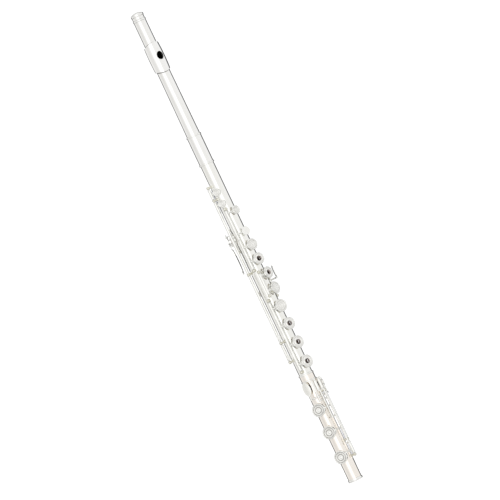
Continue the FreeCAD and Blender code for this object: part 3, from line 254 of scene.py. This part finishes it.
def tone_bore_tarnish_and_shade(material, edge, tone):
    """Make what lies nearer the bore's axis than an edge, in metres, dull and of another tone:
    tarnish in the body and foot, painted shade in the head.
    """
    tree = material.node_tree
    shader = tree.nodes["Principled BSDF"]
    place = tree.nodes.new("ShaderNodeTexCoord").outputs["Object"]
    flat = tree.nodes.new("ShaderNodeVectorMath")
    flat.operation = "MULTIPLY"
    flat.inputs[1].default_value = (1, 1, 0)
    tree.links.new(place, flat.inputs[0])
    reach = tree.nodes.new("ShaderNodeVectorMath")
    reach.operation = "LENGTH"
    tree.links.new(flat.outputs[0], reach.inputs[0])
    inside = maths(tree, "LESS_THAN", reach.outputs["Value"], edge)
    clean = shader.inputs["Base Color"].links[0].from_socket
    paler = tuple(share * 1.2 for share in tone)
    # Tarnish for the body and foot, painted shade for the head
    tarnish_and_shade = ramp(tree, noise(tree, (1, 1, 0.3), 180, 4), [(0.3, tone), (0.75, paler)])
    mix = tree.nodes.new("ShaderNodeMix")
    mix.data_type = "RGBA"
    tree.links.new(inside, mix.inputs["Factor"])
    tree.links.new(clean, mix.inputs["A"])
    tree.links.new(tarnish_and_shade, mix.inputs["B"])
    tree.links.new(mix.outputs["Result"], shader.inputs["Base Color"])
    smooth = shader.inputs["Roughness"].links[0].from_socket
    tree.links.new(maths(tree, "ADD", smooth, maths(tree, "MULTIPLY", inside, 0.3)),
                   shader.inputs["Roughness"])


def make_satin():
    """Plating rubbed matt and slightly warm by fingers."""
    material, tree, shader = new_material("satin_hole")
    wear = noise(tree, (1, 1, 1), 420, 4, 0.6)
    colour = ramp(tree, wear, [(0.3, (0.66, 0.58, 0.55)), (0.7, (0.80, 0.74, 0.71))])
    tree.links.new(colour, shader.inputs["Base Color"])
    tree.links.new(spread(tree, wear, 0.45, 0.65), shader.inputs["Roughness"])
    shader.inputs["Metallic"].default_value = 0.1
    bump(tree, shader, wear, 0.1, 0.00002)
    return material


def make_pad_skin():
    """Thin fish skin over felt: pale tan, faintly wrinkled."""
    material, tree, shader = new_material("pad_skin")
    wrinkles = noise(tree, (1, 1, 1), 900, 5, 0.65)
    colour = ramp(tree, wrinkles, [(0.3, (0.72, 0.60, 0.50)), (0.7, (0.86, 0.78, 0.69))])
    tree.links.new(colour, shader.inputs["Base Color"])
    tree.links.new(spread(tree, wrinkles, 0.35, 0.6), shader.inputs["Roughness"])
    shader.inputs["Sheen Weight"].default_value = 0.2
    bump(tree, shader, wrinkles, 0.3, 0.0001)
    return material


def make_cork():
    material, tree, shader = new_material("cork")
    cells = tree.nodes.new("ShaderNodeTexVoronoi")
    cells.inputs["Scale"].default_value = 700
    grain = noise(tree, (1, 1, 1), 400, 5, 0.7)
    warm = maths(tree, "MULTIPLY", cells.outputs["Distance"], grain)
    colour = ramp(tree, warm, [(0.02, (0.22, 0.12, 0.06)), (0.2, (0.62, 0.42, 0.25)),
                               (0.5, (0.72, 0.53, 0.34))])
    tree.links.new(colour, shader.inputs["Base Color"])
    shader.inputs["Roughness"].default_value = 0.85
    bump(tree, shader, cells.outputs["Distance"], 0.5, 0.0003)
    return material


AROUND = (0.06, 0.06, 1)
ALONG = (1, 1, 0.04)
EVERY = (1, 1, 1)
# Bright and toned colours, roughness where smooth and where worn, grain of the polish
METALS = {
    "silver_tube": ((0.95, 0.95, 0.94), (0.90, 0.90, 0.88), 0.05, 0.09, ALONG),
    "silver_body": ((0.95, 0.95, 0.93), (0.90, 0.90, 0.86), 0.05, 0.09, ALONG),
    "silver_foot": ((0.96, 0.92, 0.87), (0.92, 0.87, 0.81), 0.05, 0.09, ALONG),
    "silver_head": ((0.95, 0.95, 0.94), (0.90, 0.90, 0.88), 0.05, 0.09, ALONG),
    # Near-black metal for the riser: painted shade for the inside of the blow hole
    "riser_painted_shade": ((0.045, 0.040, 0.036), (0.025, 0.022, 0.020), 0.4, 0.55, EVERY),
    # Painted shadow for the lip plate's edge
    "solder": ((0.22, 0.21, 0.19), (0.12, 0.11, 0.10), 0.25, 0.45, EVERY),
    "silver_lip": ((0.96, 0.96, 0.95), (0.92, 0.92, 0.91), 0.04, 0.08, EVERY),
    "silver_trim": ((0.93, 0.93, 0.91), (0.88, 0.88, 0.85), 0.05, 0.1, AROUND),
    "silver_key": ((0.96, 0.96, 0.94), (0.90, 0.90, 0.86), 0.07, 0.13, EVERY),
    "silver_post": ((0.90, 0.89, 0.81), (0.80, 0.78, 0.67), 0.09, 0.16, EVERY),
    # On the cups' channels these two are tarnish deepened by painted shade, darkest on the foot
    "silver_worn": ((0.80, 0.79, 0.77), (0.64, 0.63, 0.61), 0.18, 0.32, EVERY),
    "silver_dark": ((0.46, 0.45, 0.43), (0.30, 0.29, 0.27), 0.2, 0.36, EVERY),
    "steel_rod": ((0.60, 0.60, 0.61), (0.52, 0.52, 0.54), 0.18, 0.28, ALONG),
    "blued_spring": ((0.07, 0.10, 0.22), (0.05, 0.06, 0.12), 0.2, 0.3, ALONG),
}
# How far from the axis the unpolished inside of a tube reaches, in metres, and its tone; the
# head's near-black tone is painted shade, the others tarnish
BORES = {
    "silver_body": (0.0097, (0.80, 0.73, 0.70)), "silver_foot": (0.0097, (0.40, 0.31, 0.27)),
    # Painted shade: the head's bore is near black so the blow hole looks dark
    "silver_head": (0.00895, (0.03, 0.027, 0.024)),
}
MATERIALS = {name: make_metal(name, *look) for name, look in METALS.items()}
for tube, (edge, tone) in BORES.items():
    # Tarnish for the body and foot bores, painted shade for the head's
    tone_bore_tarnish_and_shade(MATERIALS[tube], edge, tone)
MATERIALS.update(satin_hole=make_satin(), pad_skin=make_pad_skin(), cork=make_cork())


def dress(node, name):
    """Give a CAD node or a piece one material."""
    slots = node.data.materials
    if not slots:
        slots.append(MATERIALS[name])
    for index in range(len(slots)):
        slots[index] = MATERIALS[name]


# Nodes that don't take the finish of their physical slot; the riser's near-black finish is painted
# shade, so the blow hole looks dark inside
OWN_FINISHES = {
    "foot_tube": "silver_foot", "foot_socket": "silver_foot", "foot_rib": "silver_foot",
    "body_tube": "silver_body", "head_tube": "silver_head", "riser": "riser_painted_shade",
}


def dress_frame():
    slots = {row["node"]: row["material_slot"] for row in frame["record"]["subparts"]}
    for name, node in nodes.items():
        dress(node, OWN_FINISHES.get(name, slots[name]))


# --- Rods, lines of keys and cups: angle of the line, rod's distance and angle, swing at rest ---

LINES = {
    "main": (-6.0, 16.648, -57.34, -6.0), "offset": (12.0, 16.648, -39.34, -6.0),
    "thumb": (-137.0, 16.648, -188.34, -6.0), "sharp": (150.0, 17.0, 100.0, 0.0),
    "trill": (-60.0, 16.6, -94.0, 0.0), "low_sharp": (70.0, 16.5, 16.0, 0.0),
    "foot": (-66.0, 16.5, 16.0, 5.5),
}

# Body, line, cups as (station, radius, lap of the pad over its hole), hinge tubes as (top, low)
KEYS = [
    ("c_touch", "c_pad", "main", [(237.0, 6.0, 2.3)], [(233.0, 277.1)]),
    ("b_flat", "b_flat_pad", "main", [(289.5, 8.0, 2.1)], [(277.4, 298.2)]),
    ("a_touch", "a_pad", "main", [(311.2, 8.3, 2.1)], [(298.5, 321.4)]),
    ("g_pair", "g_pad", "offset", [(334.0, 8.4, 2.1), (357.0, 8.5, 2.1)], [(330.9, 361.9)]),
    ("g_sharp", "g_sharp_pad", "sharp", [(357.0, 8.4, 2.1)], [(344.0, 366.0)]),
    ("f_sharp", "f_sharp_pad", "main", [(382.8, 9.0, 2.1)], [(372.5, 394.3)]),
    ("f_touch", "f_pad", "main", [(409.8, 8.7, 2.1)], [(394.6, 423.3)]),
    ("e_touch", "e_pad", "main", [(438.0, 8.8, 2.1)], [(423.6, 452.1)]),
    ("d_touch", "d_pad", "main", [(467.3, 8.9, 2.1)], [(452.4, 476.0)]),
    ("thumb_b", "thumb_b_pad", "thumb", [(274.0, 8.0, 2.1)], [(270.3, 290.0)]),
    ("thumb_b_flat", None, "thumb", [], [(262.5, 270.0)]),
    ("d_trill", "d_trill_pad", "trill", [(221.5, 5.6, 2.1)], [(216.0, 427.8)]),
    ("d_sharp_trill", "d_sharp_trill_pad", "trill", [(204.5, 5.6, 2.1)],
     [(197.0, 211.0), (432.8, 457.0)]),
    ("low_d_sharp", "low_d_sharp_pad", "low_sharp", [(502.5, 8.8, 2.1)], [(516.1, 522.1)]),
    ("low_c_sharp", "low_c_sharp_pad", "foot", [(535.6, 9.4, 2.1)], [(522.4, 549.0)]),
    ("low_c", "low_c_pad", "foot", [(569.8, 9.4, 2.1)], [(549.3, 585.4)]),
    ("low_b", "low_b_pad", "foot", [(607.3, 9.4, 2.1)], [(590.6, 608.9)]),
]
RING_CUPS = {311.2, 334.0, 409.8, 438.0, 467.3}

# Heights over the bore's axis
CUP_TOP = 15.9
PAD_BACK = 15.1
PAD_FLANGE = 12.87
PAD_FACE = 12.27
TUBE = 9.25

# Radii of a ring cup's rim, and of its sleeve's bore
HOLE_LIP = 4.85
HOLE_BORE = 3.745


# --- Mesh helpers: shapes are gathered in one bmesh per piece, in mm, then placed ---

CREASE = 35


def lathe(mesh, outline, place, steps=48, closed=False):
    """Turn an outline of (radius, height) about Z, and set it down with a matrix."""
    rings = []
    for radius, rise in outline:
        if radius == 0:
            rings.append([mesh.verts.new(place @ Vector((0, 0, rise)))])
            continue
        ring = []
        for step in range(steps):
            turn = 2 * math.pi * step / steps
            ring.append(mesh.verts.new(place @ Vector((radius * math.cos(turn),
                                                       radius * math.sin(turn), rise))))
        rings.append(ring)
    pairs = list(zip(rings, rings[1:]))
    if closed:
        pairs.append((rings[-1], rings[0]))
    for first, second in pairs:
        for step in range(steps):
            following = (step + 1) % steps
            if len(first) == 1:
                mesh.faces.new((first[0], second[step], second[following]))
            elif len(second) == 1:
                mesh.faces.new((first[step], second[0], first[following]))
            else:
                mesh.faces.new((first[step], second[step], second[following], first[following]))


def loft(mesh, sections, place):
    """Skin a row of equal-sized closed sections, with both ends closed."""
    rings = [[mesh.verts.new(place @ Vector(point)) for point in section] for section in sections]
    count = len(rings[0])
    for first, second in zip(rings, rings[1:]):
        for step in range(count):
            following = (step + 1) % count
            mesh.faces.new((first[step], first[following], second[following], second[step]))
    mesh.faces.new(rings[0][::-1])
    mesh.faces.new(rings[-1])


def over_cup(line, station):
    """From cup space, with X towards the rod, Y towards the foot and Z outward, to the flute's."""
    turn = math.radians(line)
    side = Vector((-math.cos(turn), -math.sin(turn), 0))
    place = Matrix((side, Vector((0, 0, -1)), outward(line))).transposed().to_4x4()
    place.translation = Vector((0, 0, FOOT_END - station))
    return place


def on_rod(distance, angle, station, towards_foot=True):
    """From rod space, with Z along the rod and X outward from the bore, to the flute's."""
    away = outward(angle)
    run = Vector((0, 0, -1 if towards_foot else 1))
    place = Matrix((away, run.cross(away), run)).transposed().to_4x4()
    place.translation = away * distance + Vector((0, 0, FOOT_END - station))
    return place


def at_rest(line_name):
    """The turn that takes a key of a line from closed to its place at rest."""
    _, distance, angle, swing = LINES[line_name]
    pivot = Matrix.Translation(outward(angle) * distance)
    return pivot @ Matrix.Rotation(math.radians(swing), 4, "Z") @ pivot.inverted()


def finish_piece(mesh, name, finish, body, replaced=None):
    """Make one piece of a gathered mesh: scale, smooth, dress and join it to its body."""
    bmesh.ops.recalc_face_normals(mesh, faces=mesh.faces)
    bmesh.ops.scale(mesh, vec=(MM, MM, MM), verts=mesh.verts)
    for face in mesh.faces:
        face.smooth = True
    for edge in mesh.edges:
        if len(edge.link_faces) == 2:
            edge.smooth = edge.calc_face_angle() < math.radians(CREASE)
    data = bpy.data.meshes.new(name)
    mesh.to_mesh(data)
    mesh.free()
    piece = bpy.data.objects.new(name, data)
    bpy.context.collection.objects.link(piece)
    dress(piece, finish)
    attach(piece, body)
    if replaced:
        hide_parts(*replaced)
    return piece


def bead(centre, foot, wide, high):
    """Half of a rounded ridge's outline, from its inner side over to its outer side."""
    points = []
    for step in range(7):
        turn = math.pi * step / 6
        points.append((centre - wide * math.cos(turn), foot + high * math.sin(turn)))
    return points


# --- Lip plate: a dark band of painted shadow round its two ends, where its edge meets the tube ---

LIP_MIDDLE = 1.5
LIP_ANGLE = -24.0
LIP_HALF_LONG = 22.0
LIP_HALF_WIDE = 21.5
# Reach and outline of the painted shadow band along the lip plate's edge
EDGE_SHADOW_REACH = 86
EDGE_SHADOW_OUTLINE = ((-0.4, -0.2), (-0.35, 0.5), (0.1, 0.45), (0.5, 0.3), (0.8, -0.2))
# The head narrows a little towards the crown
CROWN_SIDE_TUBE = 9.16


# A dark band painted as the shadow under the lip plate's edge, round both its ends
def make_lip_edge_shadow():
    mesh = bmesh.new()
    for facing, wide in ((-1, 0.45), (1, 1.0)):
        sections = []
        for step in range(37):
            turn = EDGE_SHADOW_REACH * (step / 18 - 1)
            across = (TUBE + 0.05) * math.sin(math.radians(turn))
            reach = LIP_HALF_LONG * math.sqrt(1 - (across / LIP_HALF_WIDE) ** 2)
            station = LIP_MIDDLE + facing * reach
            away = outward(LIP_ANGLE + turn)
            tube = TUBE if station > 0 else CROWN_SIDE_TUBE
            section = []
            for along, rise in EDGE_SHADOW_OUTLINE:
                point = away * (tube + rise)
                point.z = FOOT_END - station - facing * along * wide
                section.append(point)
            sections.append(section)
        loft(mesh, sections, Matrix())
    finish_piece(mesh, "lip_plate_edge_shadow", "solder", "head_joint")


# --- Cups: turned ridges, pointed arms and pads ---

def ornament_cup(mesh, place, radius, ring):
    lathe(mesh, bead(radius - 0.95, CUP_TOP - 0.2, 0.7, 0.42), place, 64)
    if ring:
        lathe(mesh, bead(HOLE_LIP + 0.7, CUP_TOP - 0.08, 0.5, 0.3), place, 48)
        return
    lathe(mesh, bead(radius * 0.66, CUP_TOP - 0.3, 0.5, 0.4), place, 64)
    lathe(mesh, bead(radius * 0.38, CUP_TOP - 0.44, 0.5, 0.42), place, 48)
    button = radius * 0.14
    lathe(mesh, [(button + 0.25, CUP_TOP - 0.4), (button + 0.15, CUP_TOP - 0.1),
                 (button * 0.8, CUP_TOP + 0.08), (button * 0.4, CUP_TOP + 0.14),
                 (0, CUP_TOP + 0.16)], place, 32)


def groove(mesh, place, inner, outer, rise):
    """A shallow turned channel, dressed darker than its cup: tarnish where polish never quite
    reaches, deepened by painted shade.
    """
    middle = (inner + outer) / 2
    lathe(mesh, [(inner, rise - 0.3), (inner, rise), (middle, rise - 0.06), (outer, rise),
                 (outer, rise - 0.3)], place, 64)


def groove_cup(mesh, place, radius, ring, wide):
    if ring:
        groove(mesh, place, radius - 2.35, radius - 1.6, CUP_TOP + 0.05)
        return
    groove(mesh, place, radius * 0.72, radius * 0.72 + wide, CUP_TOP + 0.04)
    groove(mesh, place, radius * 0.4, radius * 0.4 + wide, CUP_TOP - 0.05)


def line_hole(mesh, place):
    """The inside of a finger hole's sleeve, satin from use."""
    inner = HOLE_BORE - 0.045
    lathe(mesh, [(HOLE_BORE, 13.02), (inner, 13.1), (inner, 16.0), (HOLE_BORE, 16.1)], place, 48,
          True)


def point_arm(mesh, place, radius):
    """A ridge that runs in from the arm over the cup's edge and narrows to a point."""
    sections = []
    for share in (0.0, 0.15, 0.35, 0.6, 0.85, 1.0):
        along = radius + 0.3 - share * (radius * 0.62)
        wide = 1.25 * (1 - share) ** 0.8 + 0.06
        top = CUP_TOP + 0.42 - 0.3 * share
        low = CUP_TOP - 0.5
        section = []
        for step in range(9):
            turn = math.pi * step / 8
            section.append((along, wide * math.cos(turn), low + (top - low) * math.sin(turn)))
        sections.append(section)
    loft(mesh, sections, place)


def pad_outline(radius, lap, ring):
    """A felt pad under stretched skin, pressed in a shallow groove where its hole's rim sits."""
    inner = 4.18 if ring else 0.93
    flange = 5.4 if ring else (2.245 if radius < 6.2 else 3.4)
    outer = radius - 0.47
    seat = radius - lap + 0.27
    skin = [(flange, 0.1), (flange + 0.15, 0.02), (seat - 0.55, 0.01), (seat - 0.25, 0.09),
            (seat, 0.13), (seat + 0.25, 0.09), (seat + 0.5, 0.01), (outer - 0.45, 0.02),
            (outer - 0.18, 0.12), (outer - 0.05, 0.35), (outer, 0.7)]
    return ([(inner, PAD_BACK), (inner, PAD_FLANGE), (flange, PAD_FLANGE)]
            + [(reach, PAD_FACE + rise) for reach, rise in skin] + [(outer, PAD_BACK)])


def make_cup_pieces():
    for body, pad_node, line_name, cups, _ in KEYS:
        if not cups:
            continue
        line = LINES[line_name][0]
        turned = bmesh.new()
        channels = bmesh.new()
        linings = bmesh.new()
        skins = bmesh.new()
        foot = line_name == "foot"
        for station, radius, lap in cups:
            ring = station in RING_CUPS
            place = at_rest(line_name) @ over_cup(line, station)
            ornament_cup(turned, place, radius, ring)
            groove_cup(channels, place, radius, ring, 1.1 if foot else 0.6)
            if ring:
                line_hole(linings, place)
            elif not foot:
                point_arm(turned, place, radius)
            lathe(skins, pad_outline(radius, lap, ring), place, 64, True)
        finish_piece(turned, body + "_cup_turning", "silver_key", body)
        # The channels' darker silver is tarnish deepened by painted shade, darkest on the foot's
        # cups
        finish_piece(channels, body + "_cup_channels", "silver_dark" if foot else "silver_worn",
                     body)
        if linings.verts:
            finish_piece(linings, body + "_hole_linings", "satin_hole", body)
        else:
            linings.free()
        finish_piece(skins, body + "_skinned_pads", "pad_skin", body, [pad_node])


# --- Hinge tubes: end collars, spring hooks and clutch tabs ---

# Stations of the lugs that springs bear on
HOOKS = {
    "c_touch": 249.5, "a_touch": 305.0, "f_sharp": 389.0, "d_touch": 459.5, "g_pair": 347.4,
    "thumb_b": 279.0, "d_sharp_trill": 200.5, "d_trill": 232.5, "low_d_sharp": 520.8,
    "low_c": 569.0, "low_b": 592.5,
}
# Keys closed at rest open towards their springs, so their lugs stand back by the swing
HOOK_ROOM = {"trill": -12.5, "low_sharp": -8.5}
# Stations where two tubes meet under a tab
CLUTCHES = {"a_touch": 298.35, "f_touch": 394.45, "e_touch": 423.45, "d_touch": 452.25}


def collar(mesh, place, size):
    lathe(mesh, [(size - 0.1, 0), (size + 0.12, 0.05), (size + 0.2, 0.25), (size + 0.2, 0.75),
                 (size + 0.12, 0.95), (size - 0.1, 1.0)], place, 32)


def hook(mesh, place, size):
    """A small bent lug that a needle spring bears on."""
    sections = []
    for step in range(7):
        share = step / 6
        reach = -(size - 0.15) - 1.5 * share
        lean = 0.55 * math.sin(share * math.pi * 0.75)
        wide = 0.45 - 0.15 * share
        sections.append([(reach, lean + 0.2, -wide), (reach, lean + 0.2, wide),
                         (reach, lean - 0.2, wide), (reach, lean - 0.2, -wide)])
    loft(mesh, sections, place)


def clutch_tab(mesh, place):
    """A curved plate that reaches over the next hinge tube, with its small adjusting screw."""
    inner = 2.45
    outer = 3.0
    sections = []
    for along, spread_by in ((-2.4, 24), (-2.0, 30), (0.6, 34), (2.0, 26), (2.5, 14)):
        section = []
        for step in range(7):
            turn = math.radians(-spread_by + 2 * spread_by * step / 6)
            section.append((outer * math.cos(turn), outer * math.sin(turn), along))
        for step in range(7):
            turn = math.radians(spread_by - 2 * spread_by * step / 6)
            section.append((inner * math.cos(turn), inner * math.sin(turn), along))
        sections.append(section)
    loft(mesh, sections, place)
    lathe(mesh, [(2.0, 0.7), (2.55, 0.75), (2.6, 1.1), (2.55, 1.5), (2.0, 1.55)], place, 32)
    upright = place @ Matrix.Translation((outer - 0.05, 0, -1.2))
    upright = upright @ Matrix.Rotation(math.pi / 2, 4, "Y")
    lathe(mesh, [(0.62, -0.1), (0.62, 0.3), (0.5, 0.42), (0.22, 0.45), (0.2, 0.2), (0, 0.18)],
          upright, 24)


def make_hinge_pieces():
    for body, _, line_name, _, tubes in KEYS:
        _, distance, angle, _ = LINES[line_name]
        size = 1.9 if line_name == "trill" else 2.0
        mesh = bmesh.new()
        for top, low in tubes:
            for station in (top + 0.1, low - 1.1):
                collar(mesh, at_rest(line_name) @ on_rod(distance, angle, station), size)
        if body in HOOKS:
            back = Matrix.Rotation(math.radians(HOOK_ROOM.get(line_name, 0.0)), 4, "Z")
            hook(mesh, at_rest(line_name) @ on_rod(distance, angle, HOOKS[body]) @ back, size)
        if body in CLUTCHES:
            clutch_tab(mesh, at_rest(line_name) @ on_rod(distance, angle, CLUTCHES[body]))
        finish_piece(mesh, body + "_hinge_trim", "silver_key", body)


# --- Posts, screws and needle springs ---

# Line and stations of its posts
BODY_POSTS = [
    ("main", (230.5, 324.0, 370.0, 478.5)), ("offset", (328.4, 364.4)),
    ("thumb", (260.0, 292.5)), ("sharp", (341.5, 368.5)),
    ("trill", (194.5, 213.5, 430.3, 459.5)),
]
FOOT_POSTS = [("foot", (513.5, 588.0, 611.5))]
# Line and the posts that hold the two ends of a steel
BODY_SCREWS = [("main", 230.5, 324.0), ("main", 370.0, 478.5), ("offset", 328.4, 364.4),
               ("thumb", 260.0, 292.5), ("sharp", 341.5, 368.5)]
FOOT_SCREWS = [("foot", 513.5, 611.5)]
TRILL_SCREWS = [("trill", 194.5, 459.5)]
# Line, post and length of a needle, towards the foot where positive
BODY_NEEDLES = [("main", 230.5, 19.5), ("main", 324.0, -19.5), ("main", 370.0, 19.5),
                ("main", 478.5, -19.5), ("offset", 328.4, 19.5), ("thumb", 260.0, 19.5),
                ("trill", 213.5, -13.5), ("trill", 213.5, 19.5)]
FOOT_NEEDLES = [("foot", 513.5, 7.6), ("foot", 588.0, -19.5), ("foot", 611.5, -19.5)]
POST_FACE = 1.978
POST_BASE = 10.7
NEEDLE_DROP = 3.4
NEEDLE_BOW = 0.12


def post_collars(mesh, distance, angle, station):
    place = Matrix.Translation(Vector((0, 0, FOOT_END - station)))
    place = place @ Vector((0, 0, 1)).rotation_difference(outward(angle)).to_matrix().to_4x4()
    base = [(2.05, 0), (2.3, 0.15), (2.3, 0.4), (1.95, 0.8), (1.7, 1.05), (1.4, 1.15)]
    lathe(mesh, [(reach, POST_BASE + rise) for reach, rise in base], place, 32)
    lathe(mesh, [(1.1, distance - 3.1), (1.5, distance - 2.9), (1.62, distance - 2.7),
                 (1.5, distance - 2.45), (1.1, distance - 2.2)], place, 32)


def screw_head(mesh, place):
    """A cheese head cut across by a slot: a disc, and two rounded halves that stand on it."""
    size = 1.08
    lathe(mesh, [(0, 0.02), (size, 0.02), (size, 0.12), (0, 0.12)], place, 32)
    for facing in (1, -1):
        sections = []
        for rise, inset in ((0.1, 0.0), (0.3, 0.0), (0.38, 0.1)):
            section = []
            for step in range(13):
                turn = math.radians(9 + 162 * step / 12)
                reach = size - inset
                section.append((reach * math.cos(turn), facing * max(reach * math.sin(turn), 0.17),
                                rise))
            sections.append(section)
        loft(mesh, sections, place)


def needle(mesh, line_name, station, length):
    """A tapered spring, fixed in its post and bowed a little at the lug that it presses."""
    _, distance, angle, _ = LINES[line_name]
    sections = []
    for step in range(15):
        share = step / 14
        rise = NEEDLE_BOW * share ** 2 - NEEDLE_DROP
        size = 0.35 - 0.2 * share
        section = []
        for corner in range(8):
            turn = math.pi * corner / 4
            section.append((rise + size * math.cos(turn), size * math.sin(turn),
                            abs(length) * share))
        sections.append(section)
    loft(mesh, sections, on_rod(distance, angle, station, length > 0))


def make_post_pieces():
    for body, groups, name in (("body_joint", BODY_POSTS, "body"),
                               ("foot_joint", FOOT_POSTS, "foot")):
        mesh = bmesh.new()
        for line_name, stations in groups:
            _, distance, angle, _ = LINES[line_name]
            for station in stations:
                post_collars(mesh, distance, angle, station)
        finish_piece(mesh, name + "_post_turning", "silver_post", body)
    # The trill steel turns with the D sharp trill key
    for body, ends, name in (("body_joint", BODY_SCREWS, "body"),
                             ("foot_joint", FOOT_SCREWS, "foot"),
                             ("d_sharp_trill", TRILL_SCREWS, "trill")):
        mesh = bmesh.new()
        for line_name, top, low in ends:
            _, distance, angle, _ = LINES[line_name]
            screw_head(mesh, on_rod(distance, angle, top - POST_FACE, False))
            screw_head(mesh, on_rod(distance, angle, low + POST_FACE))
        finish_piece(mesh, name + "_screw_heads", "steel_rod", body)
    for body, needles, node in (("body_joint", BODY_NEEDLES, "body_springs"),
                                ("foot_joint", FOOT_NEEDLES, "foot_springs")):
        mesh = bmesh.new()
        for line_name, station, length in needles:
            needle(mesh, line_name, station, length)
        finish_piece(mesh, node + "_needles", "blued_spring", body, [node])


bpy.context.scene.view_settings.view_transform = "Standard"
make_camera()
make_world()
make_floor()
dress_frame()
make_lip_edge_shadow()
make_cup_pieces()
make_hinge_pieces()
make_post_pieces()
